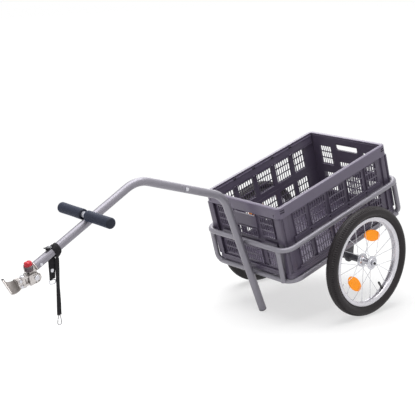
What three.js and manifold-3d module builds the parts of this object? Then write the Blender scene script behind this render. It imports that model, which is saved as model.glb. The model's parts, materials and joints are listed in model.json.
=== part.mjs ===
// Two-wheeled cargo bicycle trailer with a folding crate, parked nose-down on its leg.
// Millimetres, +X towards the bicycle, +Y to the trailer's left, +Z up, floor at z = 0.
// Most pieces are laid out level, around the wheel axis, and the whole trailer is then tipped onto its leg.
import * as THREE from 'three';
import { mergeVertices } from 'three/addons/utils/BufferGeometryUtils.js';
import Module from 'manifold-3d';

const wasm = await Module();
wasm.setup();

// Gap between pieces that touch, clearance between pieces that move, and how far a cut runs past its piece
const seat = 0.3;
const running = 0.4;
const overrun = 2;

// Wheels: 16 inch, laced with twenty spokes, on a push-button axle pin
const tyreHalfWidth = 24;
const tyreHeight = 39;
const tyreWall = 4;
const tyreShoulderHalfWidth = 17;
const tyreShoulderDrop = 5;
const tyreWidestHeight = 18;
const grooveDepth = 2.5;
const grooveHalfWidth = 1.5;
const rimOuterRadius = 172;
const rimDepth = 18;
const rimHalfWidth = 14;
const rimFlange = 2.5;
const rimWellDepth = 8;
const rimCrown = 4;
const beadDepth = 4;
const hubHalfLength = 30;
const hubShellRadius = 12;
const hubFlangeRadius = 26;
const hubFlangeThickness = 4;
const hubFlangeInset = 4;
const hubCupRadius = 18;
const spokeRadius = 1.1;
const spokeCircleRadius = 22;
const spokeHeadOffset = 1.5;
const spokesPerSide = 10;
const bearingRadius = 14;
const bearingWidth = 8;
const bearingBossRadius = 9;
const valveAngle = -144 * Math.PI / 180;
const valveRadius = 4;
const valveLength = 34;
const reflectorAngles = [-14 * Math.PI / 180, 138 * Math.PI / 180];
const reflectorLength = 86;
const reflectorHeight = 44;
const reflectorThickness = 8;
const reflectorInset = 54;

const wheelRadius = rimOuterRadius + tyreHeight;
const tyreWidestRadius = rimOuterRadius + tyreWidestHeight;
const rimInnerRadius = rimOuterRadius - rimDepth;
const beadRadius = rimOuterRadius - beadDepth;
const reflectorRadius = rimInnerRadius - reflectorInset;

// Axle across the trailer
const axleTubeRadius = 12.5;
const axleTubeWall = 3;
const axleTubeGap = 2;
const axlePinRadius = 6;
const axlePinStem = 60;
const axlePinHeadRadius = 10;
const axlePinHeadLength = 7;
const buttonRadius = 5;
const buttonTravel = 3;
const buttonDepth = 9;
const buttonProud = 3.5;

// Frame tubes that carry the crate: gaps and reaches are measured from the crate's outline
const railRadius = 10;
const upperRingGap = 9;
const upperRingHeight = 184;
const upperRingBend = 46;
const lowerRailEndReach = 3;
const lowerRailSideReach = 2;
const lowerRailHeight = 43;
const lowerRailBend = 50;
const cornerPostBend = 30;
const cornerPostReach = 10;
const cornerPostInset = 20;
const uprightTopInset = 22;
const uprightFootInset = 37;
const uprightCrateGap = 1.5;
const wheelSideGap = 39;
const hangerThickness = 10;
const hangerHalfLength = 34;
const hangerRing = 8;
const hangerReach = 6;

// Drawbar: a rear tube that is also the parking leg, and a front tube bolted into it.
// Runs are level distances: of the seam and the shoulder from the upper ring, of the others from the shoulder.
const drawbarRadius = 15;
const drawbarWall = 2;
const drawbarBite = 1;
const footDrop = 108.5;
const plugStem = 20;
const plugCollar = 2;
const plugBallRadius = 21.2;
const drawbarRise = 33.2 * Math.PI / 180;
const drawbarFall = 12.1 * Math.PI / 180;
const kneeHeight = 393;
const kneeBend = 100;
const shoulderBend = 120;
const seamRun = 226;
const shoulderRun = 387;
const drawbarEndRun = 454;
const spigotLength = 70;
const jointBoltSetback = 22;
const jointBoltRadius = 4;
const jointBoltHeadRadius = 7;
const jointBoltHead = 5;

// Pull handle across the drawbar
const handleRun = 222;
const handleLength = 284;
const handleBite = 3;
const handleTubeRadius = 11;
const handleTubeWall = 2;
const handleBareLength = 22;
const gripRadius = 18.5;
const gripEndWall = 4;
const gripRounding = 5;

// Folding crate
const crateLength = 600;
const crateWidth = 400;
const crateHeight = 296;
const crateCorner = 20;
const crateFootDepth = 7;
const crateFootClearance = 1.5;
const rimBandHeight = 42;
const rimBandWall = 4;
const rimBandInset = 15;
const rimBandTop = 5;
const trayHeight = 30;
const trayFloor = 4;
const trayWall = 12;
const panelThickness = 9;
const sidePanelInset = 2;
const postWidth = 30;
const postReturnThickness = 6;
const endPanelSideGap = 1;
const windowWidth = 84;
const outerWindowWidth = 64;
const slotPitch = 16.8;
const slotWidth = 8;
const slotMargin = 12;
const channelWidth = 20;
const channelDepth = 5;
const endWindowStart = 82;
const endWindowWidth = 66;
const plateHalfWidth = 62;
const handHoleWidth = 115;
const handHoleHeight = 27;
const handHoleDrop = 45.5;
const gripCorner = 8;

// Hitch: neck in the drawbar end, tilting block, turning clamp for the seat post
const hitchRun = 15;
const hitchDrop = 30.62886302;
const hitchPitch = -4 * Math.PI / 180;
const neckThickness = 12;
const neckEyeRadius = 12;
const neckPlugLength = 28;
const barrelRadius = 13;
const barrelFoot = 24;
const barrelHeight = 18;
const barrelX = 10;
const knobRadius = 14;
const knobHeight = 15;
const knobStemRadius = 4;
const knobStemDepth = 13;
const blockHalfWidth = 18;
const blockHalfHeight = 17;
const blockWebStart = 20;
const blockWebEnd = 27;
const pivotPinRadius = 5;
const pivotHeadRadius = 8.5;
const pivotHeadHeight = 4;
const yawX = 41;
const yawEyeRadius = 10;
const yawEyeHalfHeight = 8;
const bracketThickness = 12;
const bracketHalfHeight = 17;
const clampX = 89;
const clampInnerRadius = 18;
const clampWall = 5;
const clampLow = -16;
const clampHigh = 30;
const clampTip = 12;
const clampCheekThickness = 4;
const clampCheekLength = 12;
const linerWall = 2;
const linerProud = 2;
const clampBoltSpacing = 19;
const clampBoltRadius = 3;
const clampBoltHeadRadius = 5.5;
const clampBoltHead = 4;

// Safety strap on the drawbar: a wide sewn loop with a ring, and a long strap with a snap hook
const strapRun = 391;
const tailSetback = 5;
const webbingThickness = 2.5;
const loopWidth = 25;
const secondLoopWidth = 20;
const loopSpacing = 2;
const tailLength = 72;
const neckWebbingLength = 12;
const strapWidth = 17;
const strapThickness = 3;
const strapSide = 4.5;
const strapLength = 193;
const buckleLength = 14;
const buckleSetback = 5;
const buckleWidth = 18;
const buckleThickness = 3;
const buckleLean = 0.5;
const ringWire = 1.6;
const ringWidth = 26;
const ringHeight = 17;
const ringBend = 6;
const hookWire = 1.4;
const hookHeight = 35;
const hookHalfWidth = 8;
const hookTopHalfWidth = 3.5;
const hookGateTop = 13;
const hookGateBottom = 27;

// Number of flat faces on round forms
const wheelSides = 28;
const tubeSides = 10;
const railSides = 8;
const bendSteps = 3;
const smallSides = 12;
const wireSides = 6;
const spokeSides = 3;
const hexSides = 6;
const cornerSteps = 2;

// Colours of the finishes, from the photograph
const silverPaint = { color: 0x98969b, roughness: 0.45, metalness: 0.35 };
const darkPaint = { color: 0x4a4a50, roughness: 0.5, metalness: 0.3 };
const rubber = { color: 0x221d20, roughness: 0.85, metalness: 0 };
const polishedAlloy = { color: 0xc4c4ca, roughness: 0.3, metalness: 0.9 };
const castAlloy = { color: 0xa09c9e, roughness: 0.5, metalness: 0.7 };
const zincSteel = { color: 0xb6b6bc, roughness: 0.35, metalness: 0.9 };
const cratePlastic = { color: 0x5f5870, roughness: 0.55, metalness: 0 };
const orangeLens = { color: 0xff9500, roughness: 0.3, metalness: 0 };
const gripFoam = { color: 0x1b1c2c, roughness: 0.9, metalness: 0 };
const blackWebbing = { color: 0x141216, roughness: 0.9, metalness: 0 };
const blackPlastic = { color: 0x1a1a1e, roughness: 0.5, metalness: 0 };
const redPlastic = { color: 0xdc1e32, roughness: 0.4, metalness: 0 };

// Turns a closed geometry, whichever way its faces point, into a solid that can be joined and cut
function solid(geometry) {
  const bare = geometry.clone();
  for (const name of Object.keys(bare.attributes)) {
    if (name !== 'position') bare.deleteAttribute(name);
  }
  const merged = mergeVertices(bare);
  const places = merged.attributes.position;
  const corners = merged.index.array;
  const a = new THREE.Vector3();
  const b = new THREE.Vector3();
  const c = new THREE.Vector3();
  const triangles = [];
  let volume = 0;
  for (let i = 0; i < corners.length; i += 3) {
    const [p, q, r] = corners.slice(i, i + 3);
    if (p === q || q === r || r === p) continue;
    a.fromBufferAttribute(places, p);
    b.fromBufferAttribute(places, q);
    c.fromBufferAttribute(places, r);
    volume += a.dot(b.cross(c));
    triangles.push([p, q, r]);
  }
  const outward = volume < 0 ? triangles.map(([p, q, r]) => [p, r, q]) : triangles;
  return new wasm.Manifold(new wasm.Mesh({
    numProp: 3,
    vertProperties: new Float32Array(places.array),
    triVerts: new Uint32Array(outward.flat()),
  }));
}

// Turns a solid back into a geometry
function geometryOf(body) {
  const mesh = body.getMesh();
  const geometry = new THREE.BufferGeometry();
  geometry.setAttribute('position', new THREE.BufferAttribute(mesh.vertProperties, mesh.numProp));
  geometry.setIndex(new THREE.BufferAttribute(mesh.triVerts, 1));
  geometry.computeVertexNormals();
  return geometry;
}

// Joins or cuts a solid by any number of others
function join(body, ...others) {
  return others.reduce((whole, other) => whole.add(other), body);
}

function cut(body, ...others) {
  return others.reduce((whole, other) => whole.subtract(other), body);
}

// A closed section of equal sides, first corner on +X
function ringPoints(radius, sides) {
  return Array.from({ length: sides }, (_, i) => {
    const angle = i / sides * 2 * Math.PI;
    return new THREE.Vector2(radius * Math.cos(angle), radius * Math.sin(angle));
  });
}

// A rod between two points, solid or with a bore
function rod(from, to, radius, sides, bore = 0) {
  const shape = new THREE.Shape(ringPoints(radius, sides));
  if (bore) shape.holes.push(new THREE.Path(ringPoints(bore, sides)));
  const along = new THREE.Vector3().subVectors(to, from);
  const geometry = new THREE.ExtrudeGeometry(shape, { depth: along.length(), bevelEnabled: false });
  const turn = new THREE.Quaternion().setFromUnitVectors(new THREE.Vector3(0, 0, 1), along.normalize());
  geometry.applyQuaternion(turn);
  geometry.translate(from.x, from.y, from.z);
  return solid(geometry);
}

function vec(x, y, z) {
  return new THREE.Vector3(x, y, z);
}

// A block between two opposite corners
function block(low, high) {
  const size = new THREE.Vector3().subVectors(high, low);
  const middle = new THREE.Vector3().addVectors(low, high).multiplyScalar(1 / 2);
  const geometry = new THREE.BoxGeometry(size.x, size.y, size.z);
  geometry.translate(middle.x, middle.y, middle.z);
  return solid(geometry);
}

// A body turned around the Y axis, from a closed outline of [radius, place along Y]
function revolved(outline, sides) {
  const points = [...outline, outline[0]].map(([radius, along]) => new THREE.Vector2(radius, along));
  return solid(new THREE.LatheGeometry(points, sides));
}

// An upright plate: an outline in the XZ plane, given its thickness along Y around a middle plane
function plate(shape, thickness, middle, steps = cornerSteps) {
  const geometry = new THREE.ExtrudeGeometry(shape, {
    depth: thickness, bevelEnabled: false, curveSegments: steps,
  });
  geometry.rotateX(Math.PI / 2);
  geometry.translate(0, middle + thickness / 2, 0);
  return solid(geometry);
}

// A level plate: an outline in the XY plane, given its thickness along Z from its foot
function slab(shape, foot, height, steps = cornerSteps) {
  const geometry = new THREE.ExtrudeGeometry(shape, {
    depth: height, bevelEnabled: false, curveSegments: steps,
  });
  geometry.translate(0, 0, foot);
  return solid(geometry);
}

// A rectangle with round corners around the origin
function roundedRectangle(halfLength, halfWidth, radius) {
  const shape = new THREE.Shape();
  shape.moveTo(halfLength, -halfWidth + radius);
  shape.absarc(halfLength - radius, halfWidth - radius, radius, 0, Math.PI / 2);
  shape.absarc(-halfLength + radius, halfWidth - radius, radius, Math.PI / 2, Math.PI);
  shape.absarc(-halfLength + radius, -halfWidth + radius, radius, Math.PI, Math.PI * 3 / 2);
  shape.absarc(halfLength - radius, -halfWidth + radius, radius, Math.PI * 3 / 2, Math.PI * 2);
  return shape;
}

// A route of straight runs joined by round bends; its stations lie only where a tube needs a ring
class BentRoute extends THREE.Curve {
  constructor(corners, radii, steps) {
    super();
    this.places = [corners[0].clone()];
    this.headings = [new THREE.Vector3().subVectors(corners[1], corners[0]).normalize()];
    for (let i = 1; i < corners.length - 1; i += 1) {
      this.addBend(corners[i - 1], corners[i], corners[i + 1], radii[i - 1], steps);
    }
    this.places.push(corners[corners.length - 1].clone());
    this.headings.push(this.headings[this.headings.length - 1].clone());
  }

  addBend(before, corner, after, radius, steps) {
    const inward = new THREE.Vector3().subVectors(corner, before).normalize();
    const outward = new THREE.Vector3().subVectors(after, corner).normalize();
    const turn = inward.angleTo(outward);
    const reach = radius * Math.tan(turn / 2);
    const start = corner.clone().addScaledVector(inward, -reach);
    const side = outward.clone().addScaledVector(inward, -outward.dot(inward)).normalize();
    for (let i = 0; i <= steps; i += 1) {
      const angle = turn * i / steps;
      const place = start.clone();
      place.addScaledVector(inward, radius * Math.sin(angle));
      place.addScaledVector(side, radius * (1 - Math.cos(angle)));
      this.places.push(place);
      const heading = inward.clone().multiplyScalar(Math.cos(angle));
      heading.addScaledVector(side, Math.sin(angle));
      this.headings.push(heading);
    }
  }

  between(list, t) {
    const station = t * (list.length - 1);
    const first = Math.min(Math.floor(station), list.length - 2);
    return list[first].clone().lerp(list[first + 1], station - first);
  }

  getPoint(t) {
    return this.between(this.places, t);
  }

  getTangent(t) {
    return this.between(this.headings, t).normalize();
  }

  getUtoTmapping(u) {
    return u;
  }
}

function tubeGeometry(route, radius, sides, bore) {
  const shape = new THREE.Shape(ringPoints(radius, sides));
  if (bore) shape.holes.push(new THREE.Path(ringPoints(bore, sides)));
  return new THREE.ExtrudeGeometry(shape, {
    steps: route.places.length - 1, bevelEnabled: false, extrudePath: route,
  });
}

// A bent tube with two open ends
function bentTube(corners, radii, radius, sides, bore = 0, steps = bendSteps) {
  return solid(tubeGeometry(new BentRoute(corners, radii, steps), radius, sides, bore));
}

// A bent tube whose last station meets its first, so that it closes without end faces
function closedTube(corners, radii, radius, sides, steps = bendSteps) {
  const geometry = tubeGeometry(new BentRoute(corners, radii, steps), radius, sides, 0);
  const walls = geometry.groups[1];
  const places = geometry.attributes.position.array;
  const ring = new THREE.BufferGeometry();
  const kept = places.slice(walls.start * 3, (walls.start + walls.count) * 3);
  ring.setAttribute('position', new THREE.BufferAttribute(kept, 3));
  return solid(ring);
}

// Adds one named piece to a group
function add(group, name, body, finish) {
  const mesh = new THREE.Mesh(geometryOf(body), new THREE.MeshStandardMaterial(finish));
  mesh.name = name;
  group.add(mesh);
}

// Frame places, each from the crate's outline
const upperRingHalfLength = crateLength / 2 + upperRingGap + railRadius;
const upperRingHalfWidth = crateWidth / 2 + upperRingGap + railRadius;
const lowerRailHalfLength = crateLength / 2 + lowerRailEndReach;
const lowerRailHalfWidth = crateWidth / 2 + lowerRailSideReach;
const cornerPostTopX = upperRingHalfLength - cornerPostInset;
const cornerPostY = crateWidth / 2 + cornerPostReach;
const uprightTopY = crateWidth / 2 - uprightTopInset;
const uprightFootY = crateWidth / 2 - uprightFootInset;
const halfTrack = upperRingHalfWidth + railRadius + wheelSideGap + tyreHalfWidth;

// Lower frame: two bent tubes, each a corner post, a bar across the end and a rail along the side
const postTop = upperRingHeight;

function lowerTubeRoute(end) {
  const railEnd = end * -(lowerRailHalfLength - railRadius / 2);
  return [
    vec(end * cornerPostTopX, -end * cornerPostY, postTop),
    vec(end * lowerRailHalfLength, -end * cornerPostY, lowerRailHeight),
    vec(end * lowerRailHalfLength, end * lowerRailHalfWidth, lowerRailHeight),
    vec(railEnd, end * lowerRailHalfWidth, lowerRailHeight),
  ];
}

function lowerTube(end, radius) {
  return bentTube(lowerTubeRoute(end), [cornerPostBend, lowerRailBend], radius, railSides);
}

function upperRing(radius) {
  const x = upperRingHalfLength;
  const y = upperRingHalfWidth;
  const z = upperRingHeight;
  const corners = [vec(x, 0, z), vec(x, y, z), vec(-x, y, z), vec(-x, -y, z), vec(x, -y, z), vec(x, 0, z)];
  return closedTube(corners, corners.slice(2).map(() => upperRingBend), radius, railSides);
}

function upright(end, cutters) {
  const top = vec(end * upperRingHalfLength, end * uprightTopY, upperRingHeight);
  const footX = crateLength / 2 + uprightCrateGap + railRadius;
  const foot = vec(end * footX, end * uprightFootY, lowerRailHeight);
  return cut(rod(foot, top, railRadius, railSides), ...cutters);
}

// Drawbar: the leg touches both end bars, and the rest follows in the middle plane
const legLeanTangent = (upperRingHalfLength - lowerRailHalfLength) / (upperRingHeight - lowerRailHeight);
const legLean = Math.atan(legLeanTangent);
const legOffset = railRadius - drawbarBite + drawbarRadius / Math.cos(legLean);

function legAt(z) {
  return vec(lowerRailHalfLength + legOffset + (z - lowerRailHeight) * legLeanTangent, 0, z);
}

const footCentre = legAt(-footDrop);
const legUp = vec(Math.sin(legLean), 0, Math.cos(legLean));
const plugEdge = Math.sqrt(plugBallRadius ** 2 - drawbarRadius ** 2);
const legEnd = footCentre.clone().addScaledVector(legUp, -plugEdge + plugCollar + seat);
const knee = legAt(kneeHeight);
const riseWay = vec(Math.cos(drawbarRise), 0, Math.sin(drawbarRise));
const fallWay = vec(Math.cos(drawbarFall), 0, -Math.sin(drawbarFall));

// A place on the rising run or on the falling run of the drawbar, by its distance along X
function onRise(x) {
  return knee.clone().addScaledVector(riseWay, (x - knee.x) / riseWay.x);
}

const shoulder = onRise(upperRingHalfLength + shoulderRun);

function onFall(x) {
  return shoulder.clone().addScaledVector(fallWay, (x - shoulder.x) / fallWay.x);
}

// The trailer tips until the leg's plug and both tyres meet the floor
const pitch = Math.asin((wheelRadius - plugBallRadius) / Math.hypot(footCentre.x, footCentre.z))
  - Math.atan2(-footCentre.z, footCentre.x);

const root = new THREE.Group();
const trailer = new THREE.Group();
trailer.rotation.y = pitch;
root.add(trailer);

// Frame
const fattened = railRadius + seat;
const ringCutter = upperRing(fattened);
const lowerCutters = { 1: lowerTube(1, fattened), [-1]: lowerTube(-1, fattened) };
add(trailer, 'upper_ring', upperRing(railRadius), silverPaint);
for (const [end, tubeName, uprightName] of [
  [1, 'lower_tube_front', 'upright_front_left'],
  [-1, 'lower_tube_rear', 'upright_rear_right'],
]) {
  const tube = cut(lowerTube(end, railRadius), ringCutter, lowerCutters[-end]);
  const body = tube.decompose().reduce((largest, each) => (each.volume() > largest.volume() ? each : largest));
  add(trailer, tubeName, body, silverPaint);
  add(trailer, uprightName, upright(end, [ringCutter, lowerCutters[end]]), silverPaint);
}

// Hangers that carry the axle tube under the side rails
function hanger(side) {
  const shape = new THREE.Shape();
  const ringRadius = axleTubeRadius + hangerRing;
  const top = lowerRailHeight - railRadius + hangerReach;
  shape.moveTo(-hangerHalfLength, top);
  shape.absarc(0, 0, ringRadius, Math.PI, Math.PI * 2);
  shape.lineTo(hangerHalfLength, top);
  const body = plate(shape, hangerThickness, side * lowerRailHalfWidth, smallSides / 4);
  const railFrom = vec(-hangerHalfLength - overrun, side * lowerRailHalfWidth, lowerRailHeight);
  const railTo = vec(hangerHalfLength + overrun, side * lowerRailHalfWidth, lowerRailHeight);
  const axleFrom = vec(0, side * lowerRailHalfWidth - hangerThickness, 0);
  const axleTo = vec(0, side * lowerRailHalfWidth + hangerThickness, 0);
  const axleHole = rod(axleFrom, axleTo, axleTubeRadius + seat, smallSides);
  return cut(body, rod(railFrom, railTo, fattened, smallSides), axleHole);
}

add(trailer, 'hanger_left', hanger(1), darkPaint);
add(trailer, 'hanger_right', hanger(-1), darkPaint);

const axleHalfLength = halfTrack - hubHalfLength - axleTubeGap;
const axleBore = axleTubeRadius - axleTubeWall;
add(trailer, 'axle_tube', rod(vec(0, -axleHalfLength, 0), vec(0, axleHalfLength, 0), axleTubeRadius,
  smallSides, axleBore), darkPaint);

// Drawbar tubes: the front tube's spigot is bolted inside the rear tube
const drawbarBore = drawbarRadius - drawbarWall;
const insertRadius = drawbarBore * Math.cos(Math.PI / tubeSides) - seat;
const seam = onRise(upperRingHalfLength + seamRun);
const boltPlace = seam.clone().addScaledVector(riseWay, -jointBoltSetback);

function acrossDrawbar(place, radius) {
  const reach = drawbarRadius * 2;
  return rod(vec(place.x, -reach, place.z), vec(place.x, reach, place.z), radius + seat, smallSides / 2);
}

const boltHole = acrossDrawbar(boltPlace, jointBoltRadius);
const rearTube = bentTube([legEnd, knee, seam], [kneeBend], drawbarRadius, tubeSides, drawbarBore);
add(trailer, 'drawbar_rear', cut(rearTube, boltHole, ringCutter, lowerCutters[1]), silverPaint);

const frontStart = seam.clone().addScaledVector(riseWay, seat);
const drawbarEnd = onFall(shoulder.x + drawbarEndRun);
const frontRoute = [frontStart, shoulder, drawbarEnd];
const frontTube = bentTube(frontRoute, [shoulderBend], drawbarRadius, tubeSides, drawbarBore);
const spigotBack = seam.clone().addScaledVector(riseWay, -spigotLength);
const spigotFront = seam.clone().addScaledVector(riseWay, spigotLength / 2);
const spigot = rod(spigotBack, spigotFront, insertRadius, tubeSides, insertRadius - drawbarWall);
const spigotCollar = rod(frontStart, spigotFront, drawbarBore + drawbarWall / 2, tubeSides,
  insertRadius - drawbarWall);
add(trailer, 'drawbar_front', cut(join(frontTube, spigot, spigotCollar), boltHole), silverPaint);

function hexBolt(from, to, radius, headRadius, headHeight) {
  const way = new THREE.Vector3().subVectors(to, from).normalize();
  const head = rod(to, to.clone().addScaledVector(way, headHeight), headRadius, hexSides);
  const nut = rod(from.clone().addScaledVector(way, -headHeight), from, headRadius, hexSides);
  return join(rod(from, to, radius, smallSides / 2), head, nut);
}

const boltReach = drawbarRadius + seat;
add(trailer, 'joint_bolt', hexBolt(vec(boltPlace.x, -boltReach, boltPlace.z),
  vec(boltPlace.x, boltReach, boltPlace.z), jointBoltRadius, jointBoltHeadRadius, jointBoltHead), zincSteel);

// Plug in the leg's end: a stem in the tube, a collar against its end and a low dome that meets the floor
const plugOutline = [[0, plugStem]];
plugOutline.push([insertRadius, plugStem], [insertRadius, 0], [drawbarRadius, 0]);
const domeHalfAngle = Math.asin(drawbarRadius / plugBallRadius);
const contactAngle = legLean + pitch;
for (const angle of [domeHalfAngle, (domeHalfAngle + contactAngle) / 2, contactAngle, contactAngle / 2, 0]) {
  plugOutline.push([plugBallRadius * Math.sin(angle), plugEdge - plugCollar - plugBallRadius * Math.cos(angle)]);
}
const plug = new THREE.Group();
plug.position.copy(legEnd).addScaledVector(legUp, -seat);
plug.rotation.y = legLean;
trailer.add(plug);
const plugBody = revolved(plugOutline, smallSides).rotate([90, 0, 0]);
add(plug, 'foot_plug', plugBody, blackPlastic);

// Pull handle, its tube notched to sit on top of the falling run
const handle = new THREE.Group();
handle.position.copy(onFall(shoulder.x + handleRun));
const handleUp = vec(Math.sin(drawbarFall), 0, Math.cos(drawbarFall));
handle.position.addScaledVector(handleUp, drawbarRadius - handleBite + handleTubeRadius);
trailer.add(handle);
const notch = bentTube(frontRoute, [shoulderBend], drawbarRadius + seat, tubeSides)
  .translate(handle.position.clone().negate().toArray());
const handleTube = rod(vec(0, -handleLength / 2, 0), vec(0, handleLength / 2, 0), handleTubeRadius,
  smallSides, handleTubeRadius - handleTubeWall);
add(handle, 'handle_tube', cut(handleTube, notch), silverPaint);

function grip(side) {
  const start = handleBareLength / 2;
  const tubeEnd = handleLength / 2 + seat;
  const end = handleLength / 2 + gripEndWall;
  const bore = handleTubeRadius + seat;
  const outline = [
    [bore, start], [gripRadius - gripRounding, start], [gripRadius, start + gripRounding],
    [gripRadius, end - gripRounding], [gripRadius - gripRounding, end], [0, end], [0, tubeEnd], [bore, tubeEnd],
  ];
  return revolved(outline.map(([radius, along]) => [radius, side * along]), smallSides);
}

add(handle, 'grip_left', cut(grip(1), notch), gripFoam);
add(handle, 'grip_right', cut(grip(-1), notch), gripFoam);

// Wheels: the same wheel on both sides, turned half round for the right
function tyre() {
  const crown = wheelRadius;
  const shoulderRadius = wheelRadius - tyreShoulderDrop;
  const bead = rimHalfWidth - rimFlange - seat;
  const half = [
    [crown - grooveDepth, 0],
    [crown, grooveHalfWidth],
    [shoulderRadius, tyreShoulderHalfWidth],
    [tyreWidestRadius, tyreHalfWidth],
    [rimOuterRadius + seat, bead],
    [beadRadius, bead],
    [beadRadius, bead - tyreWall],
    [tyreWidestRadius, tyreHalfWidth - tyreWall],
    [shoulderRadius - tyreWall, tyreShoulderHalfWidth - tyreWall],
  ];
  const other = half.slice(1).reverse().map(([radius, along]) => [radius, -along]);
  return revolved([...half, ...other], wheelSides);
}

function rim() {
  const well = rimOuterRadius - rimWellDepth;
  const half = [
    [rimInnerRadius, 0],
    [rimInnerRadius + rimCrown, rimHalfWidth],
    [rimOuterRadius, rimHalfWidth],
    [rimOuterRadius, rimHalfWidth - rimFlange],
    [well, rimHalfWidth - rimFlange],
  ];
  const other = half.slice(1).reverse().map(([radius, along]) => [radius, -along]);
  return revolved([...half, ...other], wheelSides);
}

// The hub shell, with its spokes laced tangentially: each pair on a side crosses once
function hub() {
  const cup = hubHalfLength - hubFlangeInset;
  const flange = cup - hubFlangeThickness;
  const seatDepth = hubHalfLength - bearingWidth - seat;
  const half = [
    [hubShellRadius, 0],
    [hubShellRadius, flange],
    [hubFlangeRadius, flange],
    [hubFlangeRadius, cup],
    [hubCupRadius, hubHalfLength],
    [bearingRadius + seat, hubHalfLength],
    [bearingRadius + seat, seatDepth],
    [bearingBossRadius, seatDepth],
  ];
  const other = half.slice(1).reverse().map(([radius, along]) => [radius, -along]);
  const shell = revolved([...half, ...other], smallSides);
  const spokes = [];
  const spacing = 2 * Math.PI / spokesPerSide;
  const spokeReach = rimInnerRadius * Math.cos(Math.PI / wheelSides) - seat - spokeRadius / 2;
  for (const side of [1, -1]) {
    for (let i = 0; i < spokesPerSide; i += 1) {
      const sense = i % 2 ? -1 : 1;
      const hubAngle = i * spacing + (side > 0 ? spacing / 4 : spacing * 3 / 4);
      const rimAngle = hubAngle + sense * spacing;
      const hubY = side * (flange + cup) / 2 + sense * spokeHeadOffset;
      const from = vec(spokeCircleRadius * Math.sin(hubAngle), hubY, spokeCircleRadius * Math.cos(hubAngle));
      const to = vec(spokeReach * Math.sin(rimAngle), 0, spokeReach * Math.cos(rimAngle));
      spokes.push(rod(from, to, spokeRadius, spokeSides));
    }
  }
  return join(shell, ...spokes);
}

function bearing(side) {
  const inner = axlePinRadius + seat;
  const outer = hubHalfLength - seat;
  return revolved([[inner, side * (outer - bearingWidth + seat)], [bearingRadius, side * (outer - bearingWidth + seat)],
    [bearingRadius, side * outer], [inner, side * outer]], smallSides);
}

function valve() {
  const top = rimInnerRadius * Math.cos(Math.PI / wheelSides) - seat;
  const way = vec(Math.sin(valveAngle), 0, Math.cos(valveAngle));
  return rod(way.clone().multiplyScalar(top - valveLength), way.clone().multiplyScalar(top), valveRadius,
    smallSides / 2);
}

// An oval spoke reflector, curved along the wheel, on the spokes between the hub flanges
function reflector(angle) {
  const oval = new THREE.Shape();
  oval.absellipse(0, reflectorRadius, reflectorLength / 2, reflectorHeight / 2, 0, Math.PI * 2);
  const body = plate(oval, reflectorThickness, 0, smallSides / 2);
  return body.rotate([0, angle * 180 / Math.PI, 0]);
}

function axlePin() {
  const inner = -hubHalfLength - axleTubeGap;
  const outer = hubHalfLength + seat;
  const stemRadius = axleBore * Math.cos(Math.PI / smallSides) - seat;
  const button = buttonRadius + running;
  const headEnd = outer + axlePinHeadLength;
  return revolved([
    [0, inner - axlePinStem], [stemRadius, inner - axlePinStem], [stemRadius, inner],
    [axlePinRadius, inner], [axlePinRadius, outer], [axlePinHeadRadius, outer],
    [axlePinHeadRadius, headEnd], [button, headEnd], [button, headEnd - buttonDepth], [0, headEnd - buttonDepth],
  ], smallSides);
}

function releaseButton() {
  const headEnd = hubHalfLength + seat + axlePinHeadLength;
  const foot = headEnd - buttonDepth + buttonTravel + seat;
  const face = headEnd + buttonProud;
  return revolved([
    [0, foot], [buttonRadius, foot], [buttonRadius, face - 1 / 2 * buttonProud], [buttonRadius * 3 / 4, face],
    [0, face],
  ], smallSides);
}

for (const [side, word] of [[1, 'left'], [-1, 'right']]) {
  const wheel = new THREE.Group();
  wheel.position.set(0, side * halfTrack, 0);
  wheel.rotation.set(0, -pitch, side > 0 ? 0 : Math.PI);
  trailer.add(wheel);
  add(wheel, `tyre_${word}`, tyre(), rubber);
  add(wheel, `rim_${word}`, rim(), polishedAlloy);
  add(wheel, `hub_spokes_${word}`, hub(), zincSteel);
  add(wheel, `bearing_inner_${word}`, bearing(-1), zincSteel);
  add(wheel, `bearing_outer_${word}`, bearing(1), zincSteel);
  add(wheel, `valve_${word}`, valve(), blackPlastic);
  add(wheel, `reflector_a_${word}`, reflector(reflectorAngles[0]), orangeLens);
  add(wheel, `reflector_b_${word}`, reflector(reflectorAngles[1]), orangeLens);
  add(wheel, `axle_pin_${word}`, axlePin(), zincSteel);
  add(wheel, `release_button_${word}`, releaseButton(), blackPlastic);
}

// Crate: tray, rim band, two hinged halves to each long side and a hinged panel at each end
const crate = new THREE.Group();
const traySeat = lowerRailHeight + railRadius + seat;
crate.position.z = traySeat - crateFootDepth;
trailer.add(crate);
const halfLength = crateLength / 2;
const halfWidth = crateWidth / 2;
const trayTop = trayHeight;
const bandFoot = crateHeight - rimBandHeight;
const middle = (trayTop + bandFoot) / 2;

function tray() {
  const outer = slab(roundedRectangle(halfLength, halfWidth, crateCorner), crateFootDepth,
    trayTop - crateFootDepth);
  const footLength = lowerRailHalfLength - railRadius - crateFootClearance;
  const footWidth = lowerRailHalfWidth - railRadius - crateFootClearance;
  const foot = slab(roundedRectangle(footLength, footWidth, lowerRailBend - railRadius), 0,
    crateFootDepth + trayFloor, bendSteps);
  const hollow = slab(roundedRectangle(halfLength - trayWall, halfWidth - trayWall, crateCorner / 2),
    crateFootDepth + trayFloor, trayTop);
  const well = slab(roundedRectangle(footLength - trayFloor, footWidth - trayFloor,
    lowerRailBend - railRadius - trayFloor), trayFloor, trayTop, bendSteps);
  return cut(join(outer, foot), hollow, well);
}

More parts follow.
